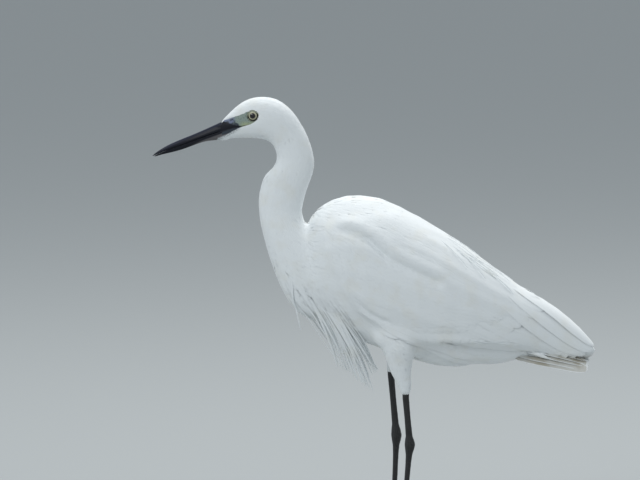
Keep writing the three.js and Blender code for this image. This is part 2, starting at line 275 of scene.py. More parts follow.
def make_mesh(name, places, faces, smooth_below=None):
    """A mesh from places and faces, where the faces are one array of equal rows or a list of such arrays.
    Edges sharper than smooth_below, in degrees, stay sharp, and None leaves the faces flat."""
    groups = faces if isinstance(faces, list) else [faces]
    corners = np.concatenate([group.ravel() for group in groups])
    sizes = np.concatenate([np.full(len(group), group.shape[1]) for group in groups])
    mesh = bpy.data.meshes.new(name)
    mesh.vertices.add(len(places))
    mesh.vertices.foreach_set("co", np.asarray(places, np.float32).ravel())
    mesh.loops.add(len(corners))
    mesh.loops.foreach_set("vertex_index", corners.astype(np.int32))
    mesh.polygons.add(len(sizes))
    mesh.polygons.foreach_set("loop_start", np.concatenate([[0], np.cumsum(sizes)[:-1]]).astype(np.int32))
    mesh.update(calc_edges=True)
    if smooth_below:
        mesh.shade_smooth()
        mesh.set_sharp_from_angle(angle=math.radians(smooth_below))
    return mesh


def add_piece(name, mesh, look, replaced=()):
    """An object that rides on the bird's one body and stands for the solids it replaces."""
    piece = bpy.data.objects.new(name, mesh)
    bpy.context.scene.collection.objects.link(piece)
    mesh.materials.append(look.material)
    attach(piece, "root")
    if replaced:
        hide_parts(*replaced)
    print(name, "-", sum(len(face.vertices) - 2 for face in mesh.polygons), "triangles")
    return piece


def unit(vectors):
    """Each row made one long."""
    lengths = np.linalg.norm(vectors, axis=-1, keepdims=True)
    return vectors / np.maximum(lengths, 1e-12)


def ramp(values, low, high):
    """0 at low, 1 at high, with an even S in between, for numbers in Python."""
    share = np.clip((values - low) / (high - low), 0, 1)
    return share * share * (3 - 2 * share)


print("mesh helpers ready")

# %% [markdown]
# ## One skin
#
# The frame divides the bird by thin cuts, but a bird has one skin. Voxel remeshing does what a sculptor
# does with clay: it fills the space that all the solids hold together and wraps it in one even mesh.
# Each solid is first grown by a little less than half a millimetre, to close the cuts, and the eyeballs
# go in too, so that the sockets don't leave pits. Two egg shapes fill the hollow between each thigh and
# the wing. Rounds of smoothing that push out as often as they pull in then take away the facets without
# shrinking the bird.

# %% Wrap the solids
WRAP_CELL = 1.6 * MM
GROW = 0.45 * MM

FLESH = [
    "head", "neck_upper", "neck_middle", "neck_lower", "breast", "trunk",
    "wing_arm_left", "wing_arm_right", "wing_flight_left", "wing_flight_right",
    "thigh_left", "thigh_right",
]
FEATHERS_ONLY = ["wing_tip_left", "wing_tip_right", "tail"]
EYES = ["eye_left", "eye_right"]
SAME_POINT = 0.01 * MM  # corners closer than this are joined


def grown_copy(names, grow, fillers):
    """One mesh of all the named solids, with every vertex moved out along its normal, and of some egg
    shapes that fill hollows, each given by its middle and its radii."""
    joined = bmesh.new()
    for name in names:
        single = bmesh.new()
        single.from_mesh(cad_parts[name].data)
        bmesh.ops.remove_doubles(single, verts=single.verts, dist=SAME_POINT)
        single.normal_update()
        for vertex in single.verts:
            vertex.co += vertex.normal * grow
        copy = bpy.data.meshes.new("copy")
        single.to_mesh(copy)
        single.free()
        joined.from_mesh(copy)
        bpy.data.meshes.remove(copy)
    for middle, radii in fillers:
        place = Matrix.Translation(middle) @ Matrix.Diagonal((*radii, 1))
        bmesh.ops.create_uvsphere(joined, u_segments=32, v_segments=20, radius=1, matrix=place)
    mesh = bpy.data.meshes.new("joined")
    joined.to_mesh(mesh)
    joined.free()
    return mesh


def wrapped(names, grow, cell, fillers=()):
    """The named solids as one even mesh, given as places and faces."""
    clay = bpy.data.objects.new("clay", grown_copy(names, grow, fillers))
    bpy.context.scene.collection.objects.link(clay)
    remesh = clay.modifiers.new("wrap", "REMESH")
    remesh.mode = "VOXEL"
    remesh.voxel_size = cell
    shape = clay.evaluated_get(bpy.context.evaluated_depsgraph_get()).to_mesh()
    places, faces = mesh_arrays(shape)
    bpy.data.objects.remove(clay)
    return places, np.array(faces)


def edges_of(faces):
    """Every edge once, as pairs of vertex numbers."""
    pairs = np.concatenate([faces[:, [i, (i + 1) % faces.shape[1]]] for i in range(faces.shape[1])])
    return np.unique(np.sort(pairs, axis=1), axis=0)


def neighbour_mean(values, edges):
    """For each vertex, the mean of a value over the vertices that an edge joins it to."""
    ends = np.concatenate([edges, edges[:, ::-1]])
    count = np.bincount(ends[:, 0], minlength=len(values))[:, None]
    columns = values.reshape(len(values), -1)
    sums = [np.bincount(ends[:, 0], column[ends[:, 1]], len(values)) for column in columns.T]
    return (np.stack(sums, axis=1) / np.maximum(count, 1)).reshape(values.shape)


PULL = 0.6  # how far a round of smoothing moves a corner towards its neighbours' mean
PUSH = 0.63  # how far it moves it back


def smoothed(places, edges, rounds, push=PUSH):
    """Each round pulls every vertex to its neighbours' mean and pushes it back a little further."""
    for _ in range(rounds):
        places = places + PULL * (neighbour_mean(places, edges) - places)
        places = places - push * (neighbour_mean(places, edges) - places)
    return places


def vertex_normals(places, faces):
    """The outward direction at each corner of a mesh of four-sided faces."""
    across = np.cross(places[faces[:, 2]] - places[faces[:, 0]], places[faces[:, 3]] - places[faces[:, 1]])
    corners = faces.ravel()
    columns = [np.bincount(corners, np.repeat(column, 4), len(places)) for column in across.T]
    return unit(np.stack(columns, axis=1))


print("wrapping ready, cells of", WRAP_CELL / MM, "mm")

# %% [markdown]
# ## Touching up the clay
#
# Wrapped solids still show where one part was set on the next. So the shape is worked over in
# side view: hollows where breast, wing and thigh meet are filled, steps are rubbed out, and the lines
# that the plumage has are pressed in as soft grooves, each with a low lip above it.

# %% Fill, rub and groove
BORDER = (-5 * MM, 4 * MM)  # where a spot's effect starts and is full, from its least distance
RUB_ROUNDS = 240
RUB_PUSH = 0.608  # a little less than usual, so that steps sink into the surface
ROUND_ROUNDS = 70
FILL_ROUNDS = 12
FILL_STEP = 8  # rounds of plain smoothing that show how deep a hollow is


def share_near(places, spots):
    """1 close to the given spots of the side view, each with a radius, and 0 beyond them. The bird's
    middle line is left out, up to each spot's least distance from it."""
    share = np.zeros(len(places))
    for x, z, radius, least in spots:
        away = np.hypot(places[:, 0] - x, places[:, 2] - z)
        flank = ramp(np.abs(places[:, 1]), least + BORDER[0], least + BORDER[1])
        share = np.maximum(share, (1 - ramp(away, 0.5 * radius, radius)) * flank)
    return share[:, None]


def rubbed_at(places, edges, spots, rounds, push):
    """The shape with small steps rubbed out near the given spots, as with a thumb."""
    rubbed = smoothed(places, edges, rounds, push)
    return places + share_near(places, spots) * (rubbed - places)


def filled_at(places, faces, edges, spots):
    """The shape with its hollows near the given spots filled up, a little at a time, to an even slope."""
    share = share_near(places, spots)
    for _ in range(FILL_ROUNDS):
        pulled = smoothed(places, edges, FILL_STEP, 0)
        normals = vertex_normals(places, faces)
        raised = np.maximum(((pulled - places) * normals).sum(axis=1, keepdims=True), 0)
        places = places + share * raised * normals
    return places


print("fill, rub and groove ready")

# %% Places read off the picture
def seen(column, row, nearer=0):
    """The place in the bird's middle plane that a pixel shows, or on a plane nearer to the camera."""
    across = view_centre.x + (column - PICTURE_WIDTH / 2) * MM
    up = view_centre.z + (PICTURE_HEIGHT / 2 - row) * MM / math.cos(CAMERA_RISE)
    return across, up + nearer * math.tan(CAMERA_RISE)


WING_NEARER = 38 * MM  # how much nearer than the middle plane the folded wing is
LIP = (2.2, 1.3)  # how far above its groove a lip lies and how wide it is, in widths of the groove
FADE_IN = (-2, 4)  # where a groove starts and is full, in its widths from the line's first corner
FADE_OUT = (-1, 2)  # where it gets weaker and ends, in its widths from the last one
FADE_SIDE = 8 * MM  # how far before its least distance from the bird's middle a groove starts


def in_wing_plane(line):
    """Corners given by column and row, as places in the X-Z plane of the wing."""
    return [seen(column, row, WING_NEARER) for column, row in line]


def line_distance(points, line):
    """How far points of the X-Z plane are from an open line."""
    x, z = points[:, 0], points[:, -1]
    nearest = np.full(len(points), np.inf)
    for (x0, z0), (x1, z1) in zip(line, line[1:]):
        run, climb = x1 - x0, z1 - z0
        along = np.clip(((x - x0) * run + (z - z0) * climb) / (run ** 2 + climb ** 2), 0, 1)
        nearest = np.minimum(nearest, np.hypot(x - x0 - along * run, z - z0 - along * climb))
    return nearest


def grooved(places, faces, line, depth, width, lip, least):
    """The shape with a soft groove pressed in along a line of the side view, and a low lip above it. A
    depth below 0 raises a ridge instead. Nearer to the bird's middle than least it fades out."""
    normals = vertex_normals(places, faces)
    away = line_distance(places, line)
    above = places[:, 2] > np.interp(places[:, 0], *np.array(line).T)
    press = depth * np.exp(-(away / width) ** 2)
    rise = lip * np.exp(-((away - LIP[0] * width) / (LIP[1] * width)) ** 2) * above
    ends = ramp(places[:, 0], *(line[0][0] + widths * width for widths in FADE_IN))
    ends = ends * (1 - ramp(places[:, 0], *(line[-1][0] + widths * width for widths in FADE_OUT)))
    outer = ramp(np.abs(places[:, 1]), least - FADE_SIDE, least) if least else 1
    return places + normals * ((rise - press) * ends * outer)[:, None]


print("middle of the picture in mm:", [round(c / MM) for c in seen(PICTURE_WIDTH / 2, PICTURE_HEIGHT / 2)])

# %% The outline of the plumage
FILLED_SPOTS = [  # X, Z, radius and least distance from the middle line
    (-0.062, 0.316, 0.022, 0.005), (-0.060, 0.298, 0.028, 0.007), (-0.048, 0.272, 0.028, 0.010),
    (-0.034, 0.246, 0.026, 0.012), (0.002, 0.210, 0.030, 0.010), (0.022, 0.214, 0.036, 0.010),
    (0.044, 0.210, 0.034, 0.010),
]
RUBBED_SPOTS = [
    (-0.058, 0.312, 0.028, 0.010), (-0.052, 0.292, 0.026, 0.010), (-0.040, 0.268, 0.024, 0.012),
    (-0.028, 0.248, 0.020, 0.014), (0.004, 0.208, 0.024, 0.010), (0.022, 0.212, 0.030, 0.010),
    (0.042, 0.208, 0.028, 0.010),
]
ROUNDED_SPOTS = [
    (-0.054, 0.322, 0.024, 0.008), (-0.036, 0.328, 0.026, 0.010), (-0.014, 0.332, 0.028, 0.012),
    (0.010, 0.332, 0.028, 0.012), (0.034, 0.328, 0.028, 0.012),
]
WING_EDGE = in_wing_plane(((436, 344), (460, 346), (490, 348), (515, 350), (540, 353), (560, 358)))
CHIN_LINE = [seen(217, 141.5), seen(221, 141.5), seen(227, 139.5)]
SHOULDER_LINE = in_wing_plane((
    (336, 230), (348, 231), (358, 234), (370, 240), (380, 249), (390, 258), (405, 266), (440, 282),
))
CREASE = in_wing_plane(((361, 235.5), (367, 238.5), (373, 244), (379, 250), (386, 256)))
BEND_LINE = in_wing_plane(((352, 295), (360, 305), (369, 313), (379, 318.5), (388, 322)))
BELLY_LINE = [seen(column, row) for column, row in ((408, 358), (425, 360), (445, 362), (465, 363))]
PLUMAGE_LINES = (  # line, depth (a ridge if below 0), width, lip, least distance from the middle line
    (SHOULDER_LINE, 2.8 * MM, 4 * MM, 1.2 * MM, 20 * MM),
    (CREASE, 1.4 * MM, 2.2 * MM, 0.8 * MM, 20 * MM),
    (BEND_LINE, 1.6 * MM, 2.4 * MM, 0.8 * MM, 16 * MM),
    (BELLY_LINE, -3.5 * MM, 9 * MM, 0, 0),
    (WING_EDGE, 2.2 * MM, 2.4 * MM, 0.8 * MM, 10 * MM),
    (CHIN_LINE, -1.6 * MM, 3 * MM, 0, 0),
)
OUTLINE_ROUNDS = 30
THIGH_FILLERS = [  # egg shapes between each thigh and the wing's lower edge: middle and radii
    ((0.022, -0.0262, 0.214), (0.024, 0.0142, 0.017)),
    ((0.018, 0.0262, 0.215), (0.023, 0.0142, 0.017)),
]
outline, outline_faces = wrapped(FLESH + FEATHERS_ONLY + EYES, GROW, WRAP_CELL, THIGH_FILLERS)
outline_edges = edges_of(outline_faces)
outline = smoothed(outline, outline_edges, OUTLINE_ROUNDS)
outline = filled_at(outline, outline_faces, outline_edges, FILLED_SPOTS)
outline = rubbed_at(outline, outline_edges, RUBBED_SPOTS, RUB_ROUNDS, RUB_PUSH)
outline = rubbed_at(outline, outline_edges, ROUNDED_SPOTS, ROUND_ROUNDS, 0)
for line in PLUMAGE_LINES:
    outline = grooved(outline, outline_faces, *line)
print("outline:", len(outline), "vertices")

# %% [markdown]
# ## The outline as a guide
#
# The smooth outline becomes a guide that all feathers are laid on. For any point it finds the nearest
# place on the bird, which way is out there, and anything else that we keep at its corners, such as how
# deep the coat is.

# %% Surfaces that feathers are laid on
CLOSEST = 0.05 * MM  # keeps a spot right on a corner from dividing by nothing


class Surface:
    """A closed mesh that finds the nearest place on itself and reads values kept at its corners."""

    def __init__(self, places, faces):
        self.places = places
        self.faces = faces
        self.edges = edges_of(faces)
        self.normals = vertex_normals(places, faces)
        self.tree = BVHTree.FromPolygons(places.tolist(), faces.tolist())

    def shares(self, spots, numbers):
        """The corners of the numbered faces, with the share that each has in a spot on its face."""
        corners = self.faces[numbers]
        away = ((self.places[corners] - spots[:, None]) ** 2).sum(axis=2) + CLOSEST ** 2
        shares = 1 / away
        return corners, shares / shares.sum(axis=1, keepdims=True)

    def nearest(self, points):
        """The nearest places, and for each the corners of its face with their shares."""
        found = [self.tree.find_nearest(point) for point in points.reshape(-1, 3).tolist()]
        spots = np.array([hit[0] for hit in found])
        return spots, self.shares(spots, [hit[2] for hit in found])

    def read(self, values, where):
        """Values kept at the corners, read at places that nearest has found."""
        corners, shares = where
        picked = values[corners]
        return (picked * shares.reshape(shares.shape + (1,) * (picked.ndim - 2))).sum(axis=1)

    def soften(self, values, rounds):
        """Values evened out a little, each round halfway to the neighbours' mean."""
        for _ in range(rounds):
            values = 0.5 * values + 0.5 * neighbour_mean(values, self.edges)
        return values


def across_surface(vectors, normals):
    """Vectors laid flat on a surface and made one long."""
    return unit(vectors - (vectors * normals).sum(axis=-1, keepdims=True) * normals)


guide = Surface(outline, outline_faces)
print("guide:", len(guide.faces), "faces")

# %% [markdown]
# ## Regions
#
# Feathers differ over the body: hair-fine on the face, a few millimetres wide on the back. The solids
# already know which part is which, so every corner of the guide takes the region of the nearest solid,
# and the borders are softened until sizes change gradually.
#
# The face is bare between bill and eye. Its border is drawn in side view, with a wedge of feathers left
# along the middle of the forehead.

# %% Regions of the body
REGIONS = {
    "head": ["head", "eye_left", "eye_right"],
    "neck": ["neck_upper", "neck_middle", "neck_lower"],
    "body": ["breast", "trunk"],
    "wing": ["wing_arm_left", "wing_arm_right", "wing_flight_left", "wing_flight_right"],
    "wing_tip": ["wing_tip_left", "wing_tip_right"],
    "thigh": ["thigh_left", "thigh_right"],
    "tail": ["tail"],
}
REGION_ROUNDS = 14


def region_shares(points):
    """How much each point belongs to each region: a column for each, 1 for the nearest."""
    places, faces, owner = [], [], []
    for number, names in enumerate(REGIONS.values()):
        for name in names:
            own_places, own_faces = mesh_arrays(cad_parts[name].data)
            faces += [tuple(corner + len(places) for corner in face) for face in own_faces]
            places += own_places.tolist()
            owner += [number] * len(own_faces)
    tree = BVHTree.FromPolygons(places, faces)
    nearest = np.array([owner[tree.find_nearest(point)[2]] for point in points.tolist()])
    return (nearest[:, None] == np.arange(len(REGIONS))).astype(float)


region = dict(zip(REGIONS, guide.soften(region_shares(guide.places), REGION_ROUNDS).T))


def by_region(**values):
    """A value for each region, blended over the guide. Those not named take the value of other."""
    other = values.pop("other", 0)
    return sum(region[name] * values.get(name, other) for name in REGIONS)


print("regions:", ", ".join(REGIONS))

# %% The bare face


def inside(points, corners):
    """How far points of the X-Z plane lie inside a closed line through the corners, minus if outside."""
    closed = np.array([*corners, corners[0]], float)
    x, z = points[:, 0], points[:, -1]
    nearest = line_distance(points, closed)
    within = np.zeros(len(points), bool)
    for (x0, z0), (x1, z1) in zip(closed, closed[1:]):
        if z0 != z1:
            crossed = (z0 > z) != (z1 > z)
            within ^= crossed & (x < x0 + (z - z0) / (z1 - z0) * (x1 - x0))
    return np.where(within, nearest, -nearest)


HEAD_NEARER = 11 * MM  # how much nearer than the middle plane the side of the head is
BARE_FACE = [seen(column, row, HEAD_NEARER) for column, row in (
    (212, 122), (219, 121.8), (226, 120.5), (231, 119), (234, 117.3), (240, 114.6), (246.5, 111.5),
    (249.5, 110.5),
    (252.8, 110.3), (256, 111.3), (257.9, 113.8), (258.2, 116.5), (256.8, 119.8), (254, 122.6), (250, 124.8),
    (247, 125.6), (240.5, 127.9), (232.5, 131.8), (226, 135.8), (218, 139.0), (211, 141.5),
)]
WEDGE_BELOW = BARE_FACE[4][1]  # Z under which the sides of the face have no wedge
FACE_SIDE = 4 * MM  # how far from the middle line the side of the face starts
FOREHEAD_WEDGE = (-0.158, 0.30, 1.0 * MM)  # X where the wedge starts, how fast it widens, half its width
COAT_BORDER = (-0.8 * MM, 0.6 * MM)  # over which the coat thins out to bare skin


def bare_distance(points):
    """How far points lie inside the bare face, minus where feathers grow."""
    start, widening, half = FOREHEAD_WEDGE
    wide = np.abs(points[:, 1])
    wedge = wide - half - np.maximum(points[:, 0] - start, 0) * widening
    low = points[:, 2] < WEDGE_BELOW
    return np.minimum(inside(points, BARE_FACE), np.where(low & (wide > FACE_SIDE), 1, wedge))


bare = ramp(bare_distance(guide.places), *COAT_BORDER)
print("bare corners of the guide:", int((bare > 0.5).sum()))

# %% Depth of the coat
BARE_DEPTH = 0.25 * MM
MANTLE_FRONT_X = (-0.052, -0.030)
MANTLE_FRONT_Z = (0.300, 0.318)
MANTLE_FRONT_THINNER = 0.55

feather_depth = by_region(
    head=1.0 * MM, neck=1.2 * MM, thigh=1.4 * MM, wing_tip=1.7 * MM, tail=1.6 * MM, other=1.9 * MM,
)
x, y, z = guide.places.T
front_of_mantle = (1 - ramp(x, *MANTLE_FRONT_X)) * ramp(z, *MANTLE_FRONT_Z) * (1 - region["neck"])
feather_depth = feather_depth * (1 - MANTLE_FRONT_THINNER * front_of_mantle)
coat_depth = feather_depth * (1 - bare) + BARE_DEPTH * bare
print("coat depth in mm:", round(coat_depth.min() / MM, 1), "to", round(coat_depth.max() / MM, 1))

# %% [markdown]
# ## The lie of the coat
#
# Feathers point away from the bill and towards the tail, and flow round whatever is in the way, much
# as water would. So we let something flow: a value held at 0 by the bill and at 1 at the tail, and
# evened out over the whole surface between them, rises along just such lines. Its slope is the lie.
# The folded wing is a board of its own laid over the body. Its feathers fan out from the shoulder, so
# there the lie comes from a few directions read off the picture.

# %% Flow from bill to tail
GUIDE_CELL = 2.8 * MM  # a coarser wrap is enough for the flow
BILL_END = -0.153  # X before which the flow is 0
TAIL_FROM = 0.200  # X after which it is 1
THIGH_BELOW = 0.176  # Z under which a thigh ends, which holds the flow too
THIGH_BEFORE = 0.06  # X behind which nothing that low is thigh
THIGH_FLOW = 0.8
EVEN_ENOUGH = 1e-18


def evened(surface, values, held, rounds=500):
    """Values that stay where they are held and lie evenly between: each ends as its neighbours' mean.
    This is the method of conjugate gradients."""
    start, end = surface.edges.T

    def strain(field):
        gap = field[start] - field[end]
        total = np.bincount(start, gap, len(field)) - np.bincount(end, gap, len(field))
        total[held] = 0
        return total

    rest = -strain(values)
    course = rest.copy()
    size = rest @ rest
    for _ in range(rounds):
        load = strain(course)
        step = size / (course @ load)
        values = values + step * course
        rest = rest - step * load
        next_size = rest @ rest
        course = rest + next_size / size * course
        size = next_size
        if size < EVEN_ENOUGH:
            break
    return values


def slope(surface, values):
    """The direction in which a value kept at the corners rises fastest."""
    start, end = surface.edges.T
    along = surface.places[end] - surface.places[start]
    weighted = along * ((values[end] - values[start]) / (along ** 2).sum(axis=1))[:, None]
    ends = np.concatenate([start, end])
    columns = [np.bincount(ends, np.tile(column, 2), len(values)) for column in weighted.T]
    return across_surface(np.stack(columns, axis=1), surface.normals)


coarse = Surface(*wrapped(FLESH + FEATHERS_ONLY + EYES, GROW, GUIDE_CELL, THIGH_FILLERS))
x, y, z = coarse.places.T
bill_end = x < BILL_END
tail_end = x > TAIL_FROM
thigh_ends = (z < THIGH_BELOW) & (x < THIGH_BEFORE)
flow = np.where(bill_end, 0, np.where(tail_end, 1, np.where(thigh_ends, THIGH_FLOW, 0.5)))
flow = evened(coarse, flow.astype(float), bill_end | tail_end | thigh_ends)
coarse_lie = slope(coarse, flow)
coarse_lie = across_surface(coarse.soften(coarse_lie, 4), coarse.normals)
_, where = coarse.nearest(guide.places)
body_lie = across_surface(coarse.read(coarse_lie, where), guide.normals)
print("flow from", round(flow.min(), 3), "to", round(flow.max(), 3), "over", len(coarse.places), "corners")

# %% Fan of the wing
WING_GUIDES = [  # column and row in the picture, then the way the feathers point there, right and down
    (320, 226, 0.62, 0.78), (333, 258, 0.55, 0.83), (346, 283, 0.60, 0.80), (360, 305, 0.76, 0.65),
    (380, 321, 0.90, 0.44), (345, 200, 0.92, 0.25), (350, 222, 0.84, 0.50), (400, 331, 0.96, 0.28),
    (450, 341, 0.99, 0.14), (500, 345, 0.98, 0.18), (560, 352, 0.90, 0.40), (385, 285, 0.80, 0.60),
    (420, 260, 0.86, 0.51), (450, 300, 0.86, 0.50), (480, 290, 0.82, 0.57), (520, 310, 0.80, 0.60),
    (560, 330, 0.78, 0.62), (590, 348, 0.78, 0.62), (400, 205, 0.93, 0.37), (440, 236, 0.84, 0.54),
    (500, 275, 0.80, 0.60), (370, 240, 0.82, 0.57),
]
GUIDE_REACH = 22 * MM
FAR_WEIGHT = (1e-9, 1e-6)  # a weak pull that is all there is beyond the reach, and lets the nearest guide win
SHOULDER = in_wing_plane((  # the field of long soft feathers over the top of the wing
    (305, 224), (335, 226), (352, 233), (370, 241), (390, 257), (405, 267), (440, 284), (478, 297),
    (500, 296), (500, 150), (300, 150),
))
SHOULDER_BORDER = 3 * MM
LIE_ROUNDS = 24

spots = np.array([seen(column, row, WING_NEARER) for column, row, *_ in WING_GUIDES])
ways = np.array([(right, -down) for *_, right, down in WING_GUIDES])
gaps = ((guide.places[:, None, [0, 2]] - spots) ** 2).sum(axis=2)
weights = np.exp(-gaps / (2 * GUIDE_REACH ** 2)) + FAR_WEIGHT[0] / (gaps + FAR_WEIGHT[1])
fan = weights @ ways
fan = np.stack([fan[:, 0], np.zeros(len(fan)), fan[:, 1]], axis=1)
fan = across_surface(fan, guide.normals)
shoulder_share = ramp(inside(guide.places, SHOULDER), -SHOULDER_BORDER, SHOULDER_BORDER)
shoulder_share = shoulder_share * (1 - ramp(region["neck"], 0.4, 0.9))
wing_share = guide.soften(np.maximum(ramp(region["wing"] + region["wing_tip"], 0.3, 0.7), shoulder_share), 4)
fan_share = wing_share[:, None]
lie = across_surface(fan_share * fan + (1 - fan_share) * body_lie, guide.normals)
lie = across_surface(guide.soften(lie, LIE_ROUNDS), guide.normals)
print("wing corners:", int((wing_share > 0.5).sum()))

# %% [markdown]
# ## Skin
#
# The skin is the same outline sunk by the depth of the coat. Where the bird is thin, as at the ends of
# the wings, it sinks less, so that it never turns inside out. Below the tail feathers it is drawn in
# from all sides, so that only feathers show there.

# %% Skin
THIN_SHARE = 0.3  # the skin sinks no further than this share of the body's thickness
TAIL_HALF = 17 * MM
TAIL_END_X = (0.180, 0.216)
TAIL_DRAWN_IN = (9 * MM, 0.45, 4 * MM)  # forward, sideways as a share, and up at the sides
JUST_BELOW = 0.1 * MM  # keeps a ray from meeting the face that it starts on


def room_below(surface):
    """How thick the body is below each corner, straight in."""
    hits = [
        surface.tree.ray_cast(Vector(place) - Vector(normal) * JUST_BELOW, -Vector(normal))
        for place, normal in zip(surface.places.tolist(), surface.normals.tolist())
    ]
    return np.array([hit[3] if hit[3] else 1.0 for hit in hits])


skin_depth = guide.soften(np.minimum(coat_depth, THIN_SHARE * room_below(guide)), 3)
skin_places = guide.places - guide.normals * skin_depth[:, None]
in_tail = ramp(region["tail"], 0.3, 0.8)
outer = np.minimum(np.abs(skin_places[:, 1]) / TAIL_HALF, 1)
forward, sideways, up = TAIL_DRAWN_IN
skin_places[:, 0] -= forward * in_tail * ramp(skin_places[:, 0], *TAIL_END_X)
skin_places[:, 1] *= 1 - sideways * in_tail
skin_places[:, 2] += up * in_tail * outer ** 2
skin = Surface(smoothed(skin_places, guide.edges, 6), guide.faces)
skin_mesh = make_mesh("skin", skin.places, skin.faces, 70)
print("skin:", len(skin_mesh.polygons), "faces")

# %% [markdown]
# ## Plumage colour
#
# An egret is white all over. What varies is a trace of cream, painted shade where the chin's feathers meet
# the bill, and below the tail a brown water stain with painted shade of the underside.
# The same colour goes on the skin and on every feather, so that nothing shows between them.

# %% Plumage looks
WHITE = (0.83, 0.86, 0.87, 1)
CREAM = (0.80, 0.81, 0.78, 1)
# Brown of a water stain, and also painted shade on the underside of the rear body and tail
STAIN_AND_SHADE = (0.36, 0.33, 0.26, 1)
# Grey painted shade for the feathers along the jaw, below the gape
JAW_SHADE_GREY = (0.24, 0.26, 0.27, 1)
# Each border below is where the stain and the painted shade start and where they are full.
STAIN_SHADE_Z = (0.196, 0.184)
STAIN_SHADE_X = (0.135, 0.175)
JAW_SLOPE = 0.545  # the feathers' edge along the jaw climbs this much for each step along X
JAW_BELOW = (0.4900, 0.4942)
JAW_ABOVE = (0.5010, 0.4970)
JAW_X = (-0.132, -0.139)


def plumage_colour(look):
    """White with a trace of cream, a brown stain with painted shade below the tail, and painted shade along
    the jaw.
    """
    place = look.place()
    x, z = look.part(place, "X"), look.part(place, "Z")
    tinge = look.noise(60, 2, place).smooth(0.45, 0.75)
    white = look.mix(tinge * 0.6, WHITE, CREAM)
    patches = look.noise(90, 3, place).smooth(0.35, 0.65)
    # Stain and painted shade: brown towards the underside at the rear
    below = z.smooth(*STAIN_SHADE_Z) * x.smooth(*STAIN_SHADE_X)
    white = look.mix(below * (patches * 0.6 + 0.25), white, STAIN_AND_SHADE)
    # Painted shade: grey streaks in the feathers along the jaw, near the bill
    height = z - x * JAW_SLOPE
    jaw_shade = height.smooth(*JAW_BELOW) * height.smooth(*JAW_ABOVE) * x.smooth(*JAW_X)
    streaks = look.noise(700, 2, place, (1, 1, 2)).smooth(0.35, 0.65)
    return look.mix(jaw_shade * (streaks * 0.6 + 0.3), white, JAW_SHADE_GREY)


soft_look = Look("soft_plumage", Roughness=0.7, Specular_IOR_Level=0.3)
soft_look.set("Base Color", plumage_colour(soft_look))
print("soft plumage ready")

# %% Bare skin of the face
LORE_GREEN = (0.26, 0.32, 0.285, 1)
LORE_YELLOW = (0.42, 0.47, 0.27, 1)
LORE_SLATE = (0.045, 0.055, 0.070, 1)
# Painted sheen: a lilac highlight on the upper skin at the bill's base
LILAC_SHEEN = (0.17, 0.20, 0.29, 1)
JAW_DUSK = (0.15, 0.14, 0.145, 1)
HORN_BLACK = (0.011, 0.012, 0.018, 1)
# Here too each border is where a marking or the painted sheen starts and where it is full.
YELLOW_Z = (0.4285, 0.4235)
YELLOW_X = (-0.137, -0.130)
SLATE_SLOPE = 1.4  # how far the slate's border leans, and how ragged the mottling makes it
SLATE_RAGGED = 0.032
SLATE_BORDER = (0.4770, 0.4696)
LILAC_SHEEN_SLOPE = 0.45
LILAC_SHEEN_X = (-0.1375, -0.1430)
LILAC_SHEEN_ABOVE = (0.4885, 0.4905)
GAPE_SLOPE = 0.27
GAPE_BELOW = (0.4546, 0.4536)
GAPE_X = (-0.140, -0.148)


def bare_skin_colour(look):
    """Slate by the bill with a painted lilac sheen on its upper part, grey green in front of the eye,
    yellower below it, and dusky at the root of the lower jaw."""
    place = look.place()
    x, z = look.part(place, "X"), look.part(place, "Z")
    mottle = look.noise(260, 4, place)
    fine = look.noise(700, 2, place)
    green = look.mix((z.smooth(*YELLOW_Z) * x.smooth(*YELLOW_X)) * 0.8, LORE_GREEN, LORE_YELLOW)
    slate = (x + mottle * SLATE_RAGGED + z * SLATE_SLOPE).smooth(*SLATE_BORDER)
    upper = look.mix(slate + fine.smooth(0.52, 0.68) * 0.4, green, LORE_SLATE)
    # Painted sheen: lilac above a sloping line by the bill
    lilac_sheen = x.smooth(*LILAC_SHEEN_X) * (z - x * LILAC_SHEEN_SLOPE).smooth(*LILAC_SHEEN_ABOVE) * mottle.smooth(0.35, 0.5)
    upper = look.mix(lilac_sheen, upper, LILAC_SHEEN)
    below_gape = (z - x * GAPE_SLOPE).smooth(*GAPE_BELOW) * x.smooth(*GAPE_X)
    return look.mix(below_gape, upper, JAW_DUSK)


def skin_look():
    """Plumage colour below the coat and bare colours on the face, with the gape as a dark line."""
    look = Look("skin", Roughness=0.5, Specular_IOR_Level=0.2)
    face = look.mix(look.attribute("horn"), bare_skin_colour(look), HORN_BLACK)
    face = look.mix(look.attribute("gape"), face, HORN_BLACK)
    look.set("Roughness", 0.5 - look.attribute("horn") * 0.14)
    look.set("Base Color", look.mix(look.attribute("bare"), plumage_colour(look), face))
    look.bump(look.noise(800, 4), 0.10 * MM)
    return look


print("bare skin ready")

# %% [markdown]
# Vanes have a shaft along the middle and barbs that leave it at an angle. Each feather has a second
# map that says how far across and how far along it a point is, and the barbs are fine ripples on that.

# %% Vanes with shaft and barbs
BARBS = 13  # ripples per centimetre of a feather
BARB_SLANT = 0.55
SHAFT_HEIGHT = 2.5  # against ripples of 0.35
VANE_RELIEF = 0.05 * MM
TAIL_PALE_FROM = 7.4  # centimetres along a tail feather
TAIL_STAIN_SHADE_Z = (0.200, 0.188)


def vane_parts(look):
    """How far a point is across its feather, 0 at the shaft and 1 at an edge, and how far along it."""
    vane = look.node("ShaderNodeUVMap", {"uv_map": "Vane"})
    return look.part(vane, "X").maths("ABSOLUTE"), look.part(vane, "Y")


